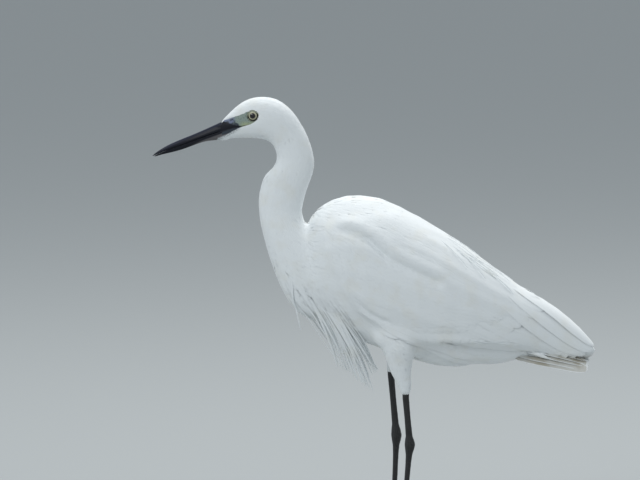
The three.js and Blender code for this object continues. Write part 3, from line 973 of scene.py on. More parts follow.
def tail_colour(look):
    """Brown water stain with painted shade towards the lower side, over most of a tail feather, with the
    edges and the end left pale.
    """
    across, along = vane_parts(look)
    pale_edge = across.smooth(0.80, 0.93)
    pale_end = along.smooth(TAIL_PALE_FROM, TAIL_PALE_FROM + 0.15)
    pale = (pale_edge + pale_end).maths("MINIMUM", 1)
    z = look.part(look.place(), "Z")
    patches = look.noise(70, 3).smooth(0.3, 0.7)
    # Stain and painted shade: brown on the lower parts of the tail feathers
    stained_and_shaded = z.smooth(*TAIL_STAIN_SHADE_Z) * (patches * 0.4 + 0.55) * (1 - pale * 0.75)
    return look.mix(stained_and_shaded, WHITE, STAIN_AND_SHADE)


def vane_look(name, colour=plumage_colour):
    """A colour with the relief of barbs and a shaft."""
    look = Look(name, Roughness=0.62, Specular_IOR_Level=0.3)
    look.set("Base Color", colour(look))
    across, along = vane_parts(look)
    ripple = ((along - across * BARB_SLANT) * (BARBS * 2 * math.pi)).maths("SINE")
    shaft = across.smooth(0.10, 0.02)
    look.bump(ripple * 0.35 + shaft * SHAFT_HEIGHT, VANE_RELIEF, 0.8)
    return look


print("vanes ready, barbs to a centimetre:", BARBS)

# %% [markdown]
# ## How a feather is laid
#
# Every feather, from a hair-fine lock on the cheek to a wing vane as long as a finger, is built the
# same way. From its root it walks along the lie of the coat, and at each station it gets a ring of
# points: a low roof above and a flatter belly below, closed at both ends. The root sits down by the skin
# and the tip lies on top of the feathers behind it, as shingles do, so only tips show. The last bit of a
# tip dips into the coat again, which leaves no dark slit below it.

# %% Styles of feather
BELLY = 0.7  # how deep the belly is, against a roof of 1


class Style:
    """The shape that all feathers of one kind share. Each row of profile is a station: how far along it
    is, how wide the feather is there as a share of its width, and how far up in the coat it lies. Edges
    that are sunk lie in the feathers below, which leaves no dark gap under them."""

    def __init__(self, profile, across, thickness, relief, wide=False, sunk=0):
        self.shares, self.widths, self.lifts = np.array(profile).T
        self.relief = relief
        self.wide = wide
        top = np.linspace(-1, 1, across)
        under = top[-2:0:-1]
        self.across = np.concatenate([top, under])
        self.roof = np.concatenate([1 - top ** 2, -BELLY * (1 - under ** 2)]) * thickness - sunk
        size = len(self.across)
        self.faces = self.ring_faces(len(profile) - 2, size)
        rings = [np.stack([self.across, np.full(size, share)], axis=1) for share in self.shares[1:-1]]
        self.map = np.concatenate([[(0, 0)], *rings, [(0, 1)]])

    @staticmethod
    def ring_faces(rings, size):
        """Faces that join the rings of one feather, with its root as point 0 and its tip as the last."""
        turn = np.arange(size)
        after = (turn + 1) % size
        root = np.stack([np.zeros(size, int), 1 + turn, 1 + after], axis=1)
        starts = 1 + np.arange(rings - 1)[:, None] * size
        ends = starts + size
        walls = np.stack([starts + turn, ends + turn, ends + after, starts + after], axis=-1)
        last = 1 + (rings - 1) * size
        tip = np.stack([np.full(size, last + size), last + after, last + turn], axis=1)
        return [np.concatenate([root, tip]), walls.reshape(-1, 4)]


def spun(vectors, axes, angles):
    """Vectors turned about unit axes that stand square on them."""
    return vectors * np.cos(angles)[:, None] + np.cross(axes, vectors) * np.sin(angles)[:, None]


class Feathers:
    """Many feathers of one style, as one array of points."""

    def __init__(self, style, spots, outs, ways, heights, width, roll=0):
        """Each of spots, outs and ways has a row per feather and a place or direction per station."""
        self.style = style
        self.count = len(spots)
        self.roots = spots[:, 0]
        self.reach = np.linalg.norm(np.diff(spots, axis=1), axis=2).sum(axis=1)
        width = np.broadcast_to(width, self.count)
        roll = np.broadcast_to(roll, self.count)
        middles = spots + outs * heights[..., None]
        half = style.widths[None, 1:-1] * width[:, None] / 2
        sides = np.cross(outs, ways)[:, 1:-1, None]
        offset = sides * (half[..., None] * style.across)[..., None]
        raised = style.roof + roll[:, None, None] * style.across * half[..., None]
        if style.wide:
            flat = spots[:, 1:-1, None] + offset
            under, where = guide.nearest(flat)
            out = unit(guide.read(guide.normals, where)).reshape(flat.shape)
            under = under.reshape(flat.shape)
            overhang = flat - under
            overhang -= (overhang * out).sum(axis=-1, keepdims=True) * out
            rings = under + overhang + out * (heights[:, 1:-1, None] + raised)[..., None]
        else:
            rings = middles[:, 1:-1, None] + offset + outs[:, 1:-1, None] * raised[..., None]
        rings = rings.reshape(self.count, -1, 3)
        self.points = np.concatenate([middles[:, :1], rings, middles[:, -1:]], axis=1)


print("feather styles ready")

# %% Feathers that follow the lie
WALKED_ENOUGH = 0.9  # a feather that gets less far than this share got stuck at an edge


def walked(points, way_steps, turn=0, bend=0):
    """Walks over the guide along the lie, a step at a time. Gives places, outward directions and ways."""
    spots, outs, ways = [], [], []
    for number, step in enumerate(way_steps):
        spot, where = guide.nearest(points)
        out = unit(guide.read(guide.normals, where))
        way = across_surface(guide.read(lie, where), out)
        way = spun(way, out, np.broadcast_to(turn + bend * number / len(way_steps), len(points)))
        spots.append(spot)
        outs.append(out)
        ways.append(way)
        points = spot + way * np.broadcast_to(step, len(points))[:, None]
    return np.stack(spots, 1), np.stack(outs, 1), np.stack(ways, 1)


def laid(style, roots, reach, width, turn=0, bend=0, layer=0, roll=0):
    """Feathers that lie along the coat from their roots."""
    steps = [reach * share for share in np.diff(style.shares)] + [0 * MM]
    spots, outs, ways = walked(roots, steps, turn, bend)
    flat = spots.reshape(-1, 3)
    depth = at(flat, coat_depth).reshape(spots.shape[:2])
    heights = style.relief * style.shares - depth * (1 - style.lifts)
    heights = heights + np.broadcast_to(layer, len(roots))[:, None]
    gone = np.linalg.norm(np.diff(spots, axis=1), axis=2).sum(axis=1)
    free = gone > WALKED_ENOUGH * np.broadcast_to(reach, len(roots))
    return Feathers(
        style, spots[free], outs[free], ways[free], heights[free],
        np.broadcast_to(width, len(roots))[free], np.broadcast_to(roll, len(roots))[free],
    )


def at(points, values):
    """A value kept on the guide, read at the given points."""
    return guide.read(values, guide.nearest(points)[1])


print("walks over the guide ready")

# %% Skin piece and its unwrap
SEAM_ANGLE = math.radians(60)
SEAM_GAP = 0.002  # between the islands of the unwrap

skin_piece = add_piece("skin", skin_mesh, skin_look(), FLESH + FEATHERS_ONLY)
bpy.context.view_layer.objects.active = skin_piece
skin_piece.select_set(True)
bpy.ops.object.mode_set(mode="EDIT")
bpy.ops.mesh.select_all(action="SELECT")
bpy.ops.uv.smart_project(angle_limit=SEAM_ANGLE, island_margin=SEAM_GAP)
bpy.ops.object.mode_set(mode="OBJECT")
skin_mesh.uv_layers[0].name = "OFBake"
skin_map = np.empty(len(skin_mesh.loops) * 2)
skin_mesh.uv_layers["OFBake"].data.foreach_get("uv", skin_map)
skin_map = skin_map.reshape(len(skin.faces), 4, 2)
print("unwrapped", len(skin_map), "faces")

# %% [markdown]
# ## The bare face
#
# Between bill and eye the skin itself shows, so there it needs folds. Its mesh is divided finer, a dish
# is pressed in for the eyeball, and the gape, the line where the bill opens, runs on as a groove to
# below the eye.

# %% Face of the skin
FACE_CUTS = 3
FACE_MARGIN = 2.5 * MM
FACE_ROUNDS = 12
GAPE = [seen(column, row, HEAD_NEARER) for column, row in (
    (222, 131.5), (232, 128.5), (240.7, 126.8), (247, 125.6), (252.5, 124.6),
)]
GAPE_DEPTH = 0.35 * MM
GAPE_WIDTH = 0.5 * MM
HORN = [seen(column, row, HEAD_NEARER) for column, row in (  # where horn black runs on over the skin
    (205, 122), (219, 121.5), (226, 122.5), (234, 125.2), (242, 126.2), (242, 127.2), (232, 129.5),
    (222, 133), (205, 134),
)]
BILL_SIDE = ((-0.165, -0.155, -0.145), (3.9 * MM, 4.7 * MM, 5.6 * MM))  # X, and half the bill's width there
FRONT_BLEND = (-0.159, -0.146)  # the skin is as narrow as the bill at the first X, and itself at the second
LORE_HOLLOW = (seen(232, 121.5, HEAD_NEARER), 7 * MM, 0.7 * MM)  # its middle, radius and depth
SIGHT = (-0.16, 0.987, 0)  # the way the left eye looks, with Y outward
DISH = (4.5 * MM, 6.4 * MM)  # where the dish for the eyeball is full, and where it ends
DISH_DEPTH = 1.3 * MM
BARE_BORDER = (-0.5 * MM, 0.5 * MM)  # this and the next are where a colour starts and is full
HORN_BORDER = (-0.3 * MM, 0.6 * MM)
GAPE_DARK = (0.15 * MM, GAPE_WIDTH)  # how far from its line the gape is all dark, and where the dark ends


def eye_axes(side):
    """The axis of sight, and the directions to the front and the top of the eye, all square."""
    sight = Vector((SIGHT[0], SIGHT[1] * side, 0)).normalized()
    front = Vector((-1, 0, 0))
    front = (front - front.dot(sight) * sight).normalized()
    return np.array(sight), np.array(front), np.array((0, 0, 1.0))


def eye_middle(side_name):
    """The middle and the radius of an eyeball."""
    low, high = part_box("eye_" + side_name)
    return np.array((low + high) / 2), (high.x - low.x) / 2


def keep_value(mesh, name, values):
    """Keeps one number for each corner of a mesh, for its look to read."""
    mesh.attributes.new(name, "FLOAT", "POINT").data.foreach_set("value", values.astype(np.float32))


in_face = bare_distance(skin.places) > -FACE_MARGIN
shape = bmesh.new()
shape.from_mesh(skin_mesh)
face_edges = [edge for edge in shape.edges if all(in_face[vertex.index] for vertex in edge.verts)]
bmesh.ops.subdivide_edges(shape, edges=face_edges, cuts=FACE_CUTS, use_grid_fill=True)
shape.to_mesh(skin_mesh)
shape.free()
places, _ = mesh_arrays(skin_mesh)
pairs = np.empty(len(skin_mesh.edges) * 2, int)
skin_mesh.edges.foreach_get("vertices", pairs)
pairs = pairs.reshape(-1, 2)
face_share = ramp(bare_distance(places), -FACE_MARGIN, -1 * MM)[:, None]
places = places + face_share * (smoothed(places, pairs, FACE_ROUNDS) - places)
normals = np.empty(len(places) * 3)
skin_mesh.vertices.foreach_get("normal", normals)
normals = normals.reshape(-1, 3)
gape = line_distance(places, GAPE)
hollow_middle, hollow_radius, hollow_depth = LORE_HOLLOW
hollow = np.hypot(places[:, 0] - hollow_middle[0], places[:, 2] - hollow_middle[1])
dent = GAPE_DEPTH * np.exp(-(gape / GAPE_WIDTH) ** 2)
dent = dent + hollow_depth * np.exp(-(hollow / hollow_radius * 2) ** 2)
places = places - normals * (dent * face_share[:, 0])[:, None]
bill_side = np.interp(places[:, 0], *BILL_SIDE)
kept = ramp(places[:, 0], *FRONT_BLEND)
wide = np.abs(places[:, 1])
places[:, 1] *= np.where(wide > bill_side, (kept * wide + (1 - kept) * bill_side) / np.maximum(wide, MM), 1)
for side_name, side in SIDES.items():
    centre, radius = eye_middle(side_name)
    sight = eye_axes(side)[0]
    away = places - centre
    ahead = away @ sight
    gap = np.linalg.norm(away - ahead[:, None] * sight, axis=1)
    near = (ahead > 0) * (1 - ramp(gap, *DISH))
    dish = np.sqrt(np.maximum(radius ** 2 - gap ** 2, 0)) - DISH_DEPTH
    places = places + (near * np.minimum(dish - ahead, 0))[:, None] * sight
skin_mesh.vertices.foreach_set("co", places.astype(np.float32).ravel())
skin_mesh.update()
keep_value(skin_mesh, "bare", ramp(bare_distance(places), *BARE_BORDER))
keep_value(skin_mesh, "gape", 1 - ramp(gape, *GAPE_DARK))
keep_value(skin_mesh, "horn", ramp(inside(places, HORN), *HORN_BORDER))
print("skin with its face:", len(places), "corners")

# %% Feathers into pieces
PATCH = 0.003  # how much of the bake map a feather takes
CENTIMETRE = 0.01
FEATHER_SMOOTH = 50  # degrees


def bake_places(roots):
    """Where each root lies on the unwrapped skin."""
    found = [skin.tree.find_nearest(root) for root in roots.tolist()]
    numbers = [hit[2] for hit in found]
    _, shares = skin.shares(np.array([hit[0] for hit in found]), numbers)
    return (skin_map[numbers] * shares[..., None]).sum(axis=1)


def add_feathers(name, groups, look, replaced=()):
    """One piece from groups of feathers, each laid on the bake map at its root's place."""
    places, triangles, squares, bake, vane = [], [], [], [], []
    start = 0
    for group in groups:
        style = group.style
        size = len(style.map)
        first = start + np.arange(group.count)[:, None, None] * size
        triangles.append((first + style.faces[0]).reshape(-1, 3))
        squares.append((first + style.faces[1]).reshape(-1, 4))
        places.append(group.points.reshape(-1, 3))
        patch = (style.map * (0.5, 1) - (0, 0.5)) * PATCH
        bake.append((bake_places(group.roots)[:, None] + patch).reshape(-1, 2))
        stretch = np.stack([np.ones(group.count), group.reach / CENTIMETRE], axis=1)
        vane.append((style.map * stretch[:, None]).reshape(-1, 2))
        start += group.count * size
    triangles, squares = np.concatenate(triangles), np.concatenate(squares)
    mesh = make_mesh(name, np.concatenate(places), [triangles, squares], FEATHER_SMOOTH)
    corners = np.concatenate([triangles.ravel(), squares.ravel()])
    for map_name, values in (("OFBake", bake), ("Vane", vane)):
        layer = mesh.uv_layers.new(name=map_name)
        layer.data.foreach_set("uv", np.concatenate(values)[corners].astype(np.float32).ravel())
    add_piece(name, mesh, look, replaced)


print("ready to add pieces")

# %% [markdown]
# ## Where feathers grow
#
# Feathers keep their distance from each other. We throw far too many points on the guide, go through
# them in random order, and keep one only if none kept before lies closer than the gap wanted there.

# %% Scatter
CROWD = 5  # points thrown for each that has room
chance = np.random.default_rng(7)


def scattered(gap, wanted):
    """Points on the guide no closer than the gap, which like wanted is a value for each corner."""
    faces = guide.faces[wanted[guide.faces].min(axis=1) > 0]
    corners = guide.places[faces]
    area = np.linalg.norm(np.cross(corners[:, 2] - corners[:, 0], corners[:, 3] - corners[:, 1]), axis=1) / 2
    room = gap[faces].mean(axis=1)
    picks = np.repeat(np.arange(len(faces)), chance.poisson(CROWD * area / room ** 2))
    u, v = chance.random((2, len(picks), 1))
    corners = corners[picks]
    lower = corners[:, 0] * (1 - u) + corners[:, 1] * u
    upper = corners[:, 3] * (1 - u) + corners[:, 2] * u
    points = lower * (1 - v) + upper * v
    reach = room[picks]
    tree = KDTree(len(points))
    for number, point in enumerate(points.tolist()):
        tree.insert(point, number)
    tree.balance()
    kept = []
    free = np.ones(len(points), bool)
    for number in chance.permutation(len(points)).tolist():
        if free[number]:
            kept.append(number)
            for _, near, _ in tree.find_range(points[number], reach[number]):
                free[near] = False
    return points[kept]


print("scatter ready")

# %% [markdown]
# ## Locks of head, neck and body
#
# Body feathers of an egret are loose and hair-like, so they show as fine pointed locks. They get
# smaller towards the face, where they are little over a millimetre wide. At the front of the mantle,
# where neck and back meet, they are short, so that they follow the tight bend.

# %% Locks
lock_gap = by_region(head=0.95 * MM, neck=1.25 * MM, thigh=1.6 * MM, other=1.9 * MM)
lock_width = by_region(head=1.4 * MM, neck=1.9 * MM, thigh=2.4 * MM, other=2.9 * MM)
lock_reach = by_region(head=6.5 * MM, neck=12 * MM, thigh=12 * MM, other=20 * MM)
LOCK_PROFILE = (
    (0, 0, 0), (0.2, 0.8, 0.66), (0.42, 1, 0.86), (0.65, 0.85, 0.95), (0.85, 0.5, 0.96), (1, 0, 0.84),
)
LOCK = Style(LOCK_PROFILE, 3, 0.20 * MM, 0, sunk=0.16 * MM)
LOCK_TURN = math.radians(4)  # how far a lock strays from the lie, on average, and how far it bends
LOCK_BEND = math.radians(5)
LAYER_SPREAD = 0.12 * MM  # feathers lie up to this much deeper than their layer
BODY_END = 0.158  # X behind which the tail feathers take over
FRONT_LOCKS = (1.5 * MM, 2.4 * MM, 13 * MM)  # gap, width and reach at the front of the mantle


def locks(wanted, gap=lock_gap, width=lock_width, reach=lock_reach):
    """Locks scattered where wanted is above 0. The other values are one for each corner of the guide."""
    roots = scattered(gap, wanted)
    roots = roots[bare_distance(roots) < 0]
    count = len(roots)
    reach = at(roots, reach) * chance.uniform(0.8, 1.15, count)
    width = at(roots, width) * chance.uniform(0.85, 1.15, count)
    turn = chance.normal(0, LOCK_TURN, count)
    bend = chance.normal(0, LOCK_BEND, count)
    return laid(LOCK, roots, reach, width, turn, bend, layer=-LAYER_SPREAD * chance.random(count))


add_feathers("head_feathers", [locks(region["head"] - 0.5)], soft_look)
add_feathers("neck_feathers", [locks(region["neck"] - 0.35)], soft_look)
on_body = np.minimum(region["body"] + region["thigh"] + region["tail"] - 0.4, 0.75 - wing_share)
on_body = np.minimum(on_body, BODY_END - guide.places[:, 0])
add_feathers("body_feathers", [locks(on_body)], soft_look)
on_front = np.minimum(front_of_mantle - 0.25, shoulder_share - 0.15)
front_values = [np.full(len(guide.places), value) for value in FRONT_LOCKS]
add_feathers("mantle_front_feathers", [locks(on_front, *front_values)], soft_look)

# %% [markdown]
# ## The folded wing
#
# Over the wing the feathers are true vanes, in the order of a real wing. Small coverts make the smooth
# front. Behind them come a row of median and a row of greater coverts, and below and behind those the
# flight feathers, whose edges run as long lines to the wing's tip. Long soft shoulder feathers hang over
# the top of it all. The rows are placed by their tips, since the tips are what one sees.

# %% Rows of vanes
VANE_PROFILE = (
    (0, 0, 0), (0.08, 0.45, 0.12), (0.18, 0.7, 0.27), (0.3, 0.86, 0.42), (0.42, 0.95, 0.55), (0.54, 1, 0.67),
    (0.66, 1, 0.78), (0.76, 0.98, 0.86), (0.85, 0.9, 0.92), (0.915, 0.76, 0.96), (0.96, 0.56, 0.985),
    (0.988, 0.3, 0.985), (1, 0, 0.96),
)
COVERT_PROFILE = (
    (0, 0, 0), (0.18, 0.65, 0.3), (0.38, 0.92, 0.56), (0.58, 1, 0.75), (0.75, 0.95, 0.88), (0.88, 0.76, 0.96),
    (0.96, 0.44, 0.98), (1, 0, 0.93),
)
LANCE_PROFILE = (
    (0, 0, 0), (0.15, 0.6, 0.62), (0.3, 0.9, 0.80), (0.47, 1, 0.90), (0.63, 0.88, 0.95), (0.77, 0.64, 0.97),
    (0.88, 0.36, 0.94), (0.95, 0.16, 0.86), (1, 0, 0.66),
)
VANE = Style(VANE_PROFILE, 7, 0.30 * MM, 0.1 * MM, wide=True, sunk=0.1 * MM)
COVERT = Style(COVERT_PROFILE, 5, 0.20 * MM, 0, wide=True, sunk=0.1 * MM)
SILK = Style(LANCE_PROFILE, 3, 0.24 * MM, 0, wide=True, sunk=0.20 * MM)
VANE_TURN = 0.02  # how far a vane strays from the lie, on average
WALK_STEPS = 20  # from a tip back to the root


def spread(line, count):
    """Points at even gaps along a line through the given corners."""
    line = np.asarray(line, float)
    reach = np.concatenate([[0], np.cumsum(np.linalg.norm(np.diff(line, axis=0), axis=1))])
    places = np.linspace(0, reach[-1], count)
    return np.stack([np.interp(places, reach, column) for column in line.T], axis=1)


FAR_OUT = 0.2  # Y well outside the bird
NEAR_MIDDLE = 5 * MM


def on_side(points, side):
    """Where points of the X-Z plane meet the guide, seen from one side, or the nearest place to them."""
    met = []
    for x, z in points:
        hit = guide.tree.ray_cast(Vector((x, side * FAR_OUT, z)), Vector((0, -side, 0)))
        met.append(hit[0] if hit[0] else guide.tree.find_nearest((x, side * NEAR_MIDDLE, z))[0])
    return np.array(met)


def row_of_vanes(side, style, tips, count, reach, width, layer, roll):
    """A row of feathers on one wing whose tips lie on a line given in the picture. reach, width and
    layer are each given for the first and the last feather."""
    ends = on_side(spread(in_wing_plane(tips), count), side)
    share = np.linspace(0, 1, count)
    reach = np.interp(share, (0, 1), reach) * chance.uniform(0.96, 1.04, count)
    width = np.interp(share, (0, 1), width) * chance.uniform(0.95, 1.05, count)
    turn = chance.normal(0, VANE_TURN, count)
    steps = [-reach / WALK_STEPS] * WALK_STEPS + [0]
    back, _, _ = walked(ends, steps, turn)
    layer = np.interp(share, (0, 1), layer)
    return laid(style, back[:, -1], reach, width, turn, layer=layer, roll=roll * side)


FLIGHT_TIPS = (
    (428, 339), (443, 342), (473, 346.5), (502, 348), (529, 350), (552, 352.5), (571, 357.5), (582, 359),
    (592, 355), (597, 348),
)
GREATER_TIPS = ((400, 336), (440, 339.5), (480, 339), (505, 335), (525, 325), (543, 313))
MEDIAN_TIPS = ((386, 326), (420, 331), (460, 331), (490, 326), (510, 316), (527, 303))
ROWS = (  # style, tips, count, reach, width, layer and roll
    (VANE, FLIGHT_TIPS, 24, (62 * MM, 150 * MM), (12 * MM, 22 * MM), (1.6 * MM, 1.0 * MM), 0.12),
    (VANE, GREATER_TIPS, 18, (40 * MM, 50 * MM), (11 * MM, 13 * MM), (0.8 * MM, 0.8 * MM), 0.03),
    (COVERT, MEDIAN_TIPS, 19, (28 * MM, 32 * MM), (10 * MM, 11 * MM), (0.4 * MM, 0.7 * MM), 0.01),
)
wing_look = vane_look("vanes")

for side_name, side in SIDES.items():
    add_feathers("wing_vanes_" + side_name, [row_of_vanes(side, *row) for row in ROWS], wing_look)

# %% Small coverts and shoulder feathers
SMALL_COVERTS = in_wing_plane((
    (290, 222), (352, 215), (400, 240), (470, 272), (500, 278), (496, 298), (478, 312), (450, 320),
    (410, 323), (378, 320), (340, 335), (300, 300),
))
UNDER_END = 0.160  # X beyond which only the long vanes cover the wing
FRONT_TO_REAR = (-0.03, 0.12)  # X over which feathers change from their front to their rear values
COVERING_TURN = 0.05
OVER_MIDDLE = 0.5 * MM  # how far each side's feathers reach over the middle line
FIRM = 100  # makes a distance in metres count like a share
SMALL = (SILK, 2.4 * MM, (18 * MM, 24 * MM), (4.2 * MM, 5.0 * MM), (0.4 * MM, 1.0 * MM))
UNDER = (COVERT, 6 * MM, (24 * MM, 28 * MM), (10 * MM, 12 * MM), (-0.6 * MM, -0.4 * MM))
LONG = (SILK, 2.6 * MM, (22 * MM, 44 * MM), (4.0 * MM, 5.4 * MM), (0.35 * MM, 1.0 * MM))


def covering(wanted, style, gap, reach, width, layer):
    """Feathers scattered where wanted is above 0. reach, width and layer change from front to rear."""
    roots = scattered(by_region(other=gap), wanted)
    count = len(roots)
    along = ramp(roots[:, 0], *FRONT_TO_REAR)
    reach, width, layer = (np.interp(along, (0, 1), pair) for pair in (reach, width, layer))
    return laid(
        style, roots, reach * chance.uniform(0.85, 1.15, count), width * chance.uniform(0.9, 1.1, count),
        turn=chance.normal(0, COVERING_TURN, count), layer=layer - LAYER_SPREAD * chance.random(count),
    )


on_wing = wing_share - 0.2
on_shoulder = shoulder_share - 0.4
among_small = inside(guide.places, SMALL_COVERTS) * FIRM
before_tip = (UNDER_END - guide.places[:, 0]) * FIRM
for side_name, side in SIDES.items():
    own = (guide.places[:, 1] * side + OVER_MIDDLE) * FIRM
    small = covering(np.min([among_small, on_wing, own], axis=0), *SMALL)
    under = covering(np.min([on_wing, own, before_tip], axis=0), *UNDER)
    add_feathers("small_coverts_" + side_name, [small, under], soft_look)
    shoulder = covering(np.minimum(on_shoulder, own), *LONG)
    add_feathers("shoulder_feathers_" + side_name, [shoulder], soft_look)

# %% [markdown]
# ## Tail
#
# Twelve tail feathers lie stacked like a closed fan, the middle pair on top and each next pair a little
# lower and further out. Their edges show at the side as close lines.

# %% Tail feathers
TAIL_PAIRS = 6
TAIL_ROOT = 0.138  # X where the stack comes out of the rump
TAIL_MIDDLE = 0.18
TAIL_END = 0.2155
TAIL_MEASURED = (0.208, 0.213)  # X near the end, where the solid's height is read for root and tip
TAIL_SHORTER = 2.5 * MM  # how much shorter the outermost feathers are
TAIL_SPREAD = ((1, 6), (1, 13.5), (1.5, 13.5))  # Y of root, middle and tip in mm: first pair, and the rest
TAIL_DROPS = (4 * MM, 0.3 * MM)  # how far root and tip lie below the height that was read
TAIL_LEVELS = (1, 0.9)  # height in the stack of the first pair, and how much lower the last one is
TAIL_FEATHER = 14 * MM
TAIL_ROOF = 1.4  # how steeply the outermost feathers hang
TAIL_FRONT = 0.35  # how far the roof leans back
STRAND_PROFILE = tuple((share, width, 1) for share, width in (
    (0, 0), (0.03, 0.6), (0.08, 0.9), (0.15, 1), (0.24, 1), (0.33, 1), (0.42, 0.95), (0.51, 0.9), (0.6, 0.82),
    (0.69, 0.76), (0.78, 0.68), (0.86, 0.6), (0.93, 0.48), (0.98, 0.3), (1, 0),
))
STRAND = Style(STRAND_PROFILE, 3, 0.30 * MM, 0)
STIFF_PROFILE = tuple((share, width, 1) for share, width, _ in VANE_PROFILE)
STIFF = Style(STIFF_PROFILE, 7, 0.30 * MM, 0)


def free(style, starts, controls, ends, outs, width):
    """Feathers that stand free of the body, each on a bow from start to end, pulled to its control."""
    share = style.shares[None, :, None]
    starts, controls, ends = (np.asarray(points, float)[:, None] for points in (starts, controls, ends))
    spots = starts * (1 - share) ** 2 + controls * 2 * share * (1 - share) + ends * share ** 2
    ways = unit((controls - starts) * (1 - share) + (ends - controls) * share)
    outs = across_surface(np.broadcast_to(np.asarray(outs, float)[:, None], spots.shape), ways)
    return Feathers(style, spots, outs, ways, np.zeros(spots.shape[:2]), width)


HIGH_ABOVE = 0.5  # Z well outside the bird
FAR_BELOW = -0.1


def tail_height(x, y, top_share):
    """A height in the tail's stack, from its underside (0) to its top (1), off the tail's solid."""
    top = tail_tree.ray_cast(Vector((x, y, HIGH_ABOVE)), Vector((0, 0, -1)))[0].z
    bottom = tail_tree.ray_cast(Vector((x, y, FAR_BELOW)), Vector((0, 0, 1)))[0].z
    return bottom + (top - bottom) * top_share


tail_tree = BVHTree.FromPolygons(*mesh_arrays(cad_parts["tail"].data))
starts, controls, ends, outs = [], [], [], []
for pair in range(TAIL_PAIRS):
    for side in (LEFT, RIGHT):
        outward = pair / (TAIL_PAIRS - 1)
        start_y, middle_y, end_y = (side * (first + more * outward) * MM for first, more in TAIL_SPREAD)
        level = TAIL_LEVELS[0] - TAIL_LEVELS[1] * outward
        middle_z = tail_height(TAIL_MIDDLE, middle_y, level)
        root_z, tip_z = (tail_height(x, end_y, level) for x in TAIL_MEASURED)
        starts.append((TAIL_ROOT, start_y, 2 * middle_z - root_z - TAIL_DROPS[0]))
        controls.append((TAIL_MIDDLE, middle_y, middle_z))
        ends.append((TAIL_END - TAIL_SHORTER * outward, end_y, tip_z - TAIL_DROPS[1]))
        outs.append((TAIL_FRONT, side * TAIL_ROOF * outward, 1))
tail = free(STIFF, starts, controls, ends, outs, TAIL_FEATHER)
add_feathers("tail_feathers", [tail], vane_look("tail_vanes", tail_colour))

# %% [markdown]
# ## Plumes of the breast and back
#
# Long thread-like feathers hang from the lower foreneck, each on its own, so that one sees gaps between
# them. They start in the coat of the breast, lie on it for a while, and swing free backwards. One lies
# alone, further forward. Short threads stand off the back and fringe the lower edge of the wing.

# %% Breast plumes
PLUME_TIPS = ((336, 366), (345, 371), (353, 375), (362, 384), (374, 392), (369, 377), (379, 371), (371, 358))
PLUME_ROOTS = ((297, 276), (302, 272), (308, 274), (314, 280), (321, 284), (327, 288))
PLUME_COUNT = 92
PLUME_LINE_STEPS = 200
PLUME_WIDTH = 2.6 * MM
PLUME_ROOTS_NEARER = 20 * MM
STARTS_LEFT = 0.6  # how many of the plumes start on the left side, as a share
ROOT_STRAY = (0.05, 3 * MM)  # how far a root strays along its line, as a share of it, and in place
ROOT_FLANK = (0.1, 0.9)  # how far out on the breast roots lie, from its middle line at 0 to its side at 1
TIP_FLANK = (0.5, 11)  # how far from the bird's middle tips hang, in millimetres
DROP_SHARE = 0.3  # how much of its first way a plume takes from the lie
BOW_AT = 0.55  # how far along it a plume's bow is pulled, by the next two
BOW_LIFT = (0, 0, 1.5 * MM)
BOW_OUTWARD = 0.15  # how much further out the bow is pulled, as a share of the way inward to the tip
SHORTEST = 0.62  # of the full length
REACH_FULL = 0.3  # how many of the plumes have their full length, as a share
PLUME_HEIGHTS = (-1.6 * MM, -1 * MM, -0.1 * MM, 0.4 * MM)  # least height over the coat, root to free part
PLUME_SHARES = (0, 0.12, 0.42)  # where along a plume the last three of those are reached
LONE_PLUME = ((292, 280), (294.5, 305), (301, 331.4))
LONE_NEARER = 14 * MM
LONE_LIFT = (1.5 * MM, 2.5 * MM)  # how far its middle and tip stand off the breast
LONE_OUT = (-0.4, -0.9, 0)  # the way its upper face looks
LONE_HIGHER = 0.6 * MM  # how much further than the others it is kept off the coat
LONE_WIDTH = 2.2 * MM


def kept_outside(spots, clearance):
    """Places pushed out of the body where they would run through it."""
    flat = spots.reshape(-1, 3)
    surface, where = guide.nearest(flat)
    out = unit(guide.read(guide.normals, where))
    height = ((flat - surface) * out).sum(axis=1)
    raised = np.maximum(height, np.tile(clearance, len(spots)))
    return (flat + out * (raised - height)[:, None]).reshape(spots.shape)


def along_line(line, shares):
    """Points at the given shares of the way along a line."""
    return spread(line, PLUME_LINE_STEPS)[(shares * (PLUME_LINE_STEPS - 1)).astype(int)]


share = chance.random(PLUME_COUNT)
side = np.where(chance.random(PLUME_COUNT) < STARTS_LEFT, LEFT, RIGHT)
tips = along_line([seen(*tip) for tip in PLUME_TIPS], share)
root_share = np.clip(share + chance.normal(0, ROOT_STRAY[0], PLUME_COUNT), 0, 1)
roots = along_line([seen(*root, PLUME_ROOTS_NEARER) for root in PLUME_ROOTS], root_share)
roots = roots + chance.normal(0, ROOT_STRAY[1], roots.shape)
starts = np.concatenate([on_side(roots[number:number + 1], side[number]) for number in range(PLUME_COUNT)])
starts[:, 1] *= chance.uniform(*ROOT_FLANK, PLUME_COUNT)
starts, where = guide.nearest(starts)
outs = unit(guide.read(guide.normals, where))
drop = across_surface(guide.read(lie, where), outs)
ends = np.stack([tips[:, 0], side * chance.uniform(*TIP_FLANK, PLUME_COUNT) * MM, tips[:, 1]], axis=1)
length = np.linalg.norm(ends - starts, axis=1, keepdims=True)
first_way = (1 - DROP_SHARE) * unit(ends - starts) + DROP_SHARE * drop
controls = starts + first_way * length * BOW_AT + BOW_LIFT
controls[:, 1] -= BOW_OUTWARD * (ends - starts)[:, 1]
short = chance.uniform(SHORTEST, 1.0, PLUME_COUNT)[:, None]
short[chance.random(PLUME_COUNT) < REACH_FULL] = 1
ends = starts * (1 - short) ** 2 + controls * 2 * short * (1 - short) + ends * short ** 2
controls = starts * (1 - short) + controls * short
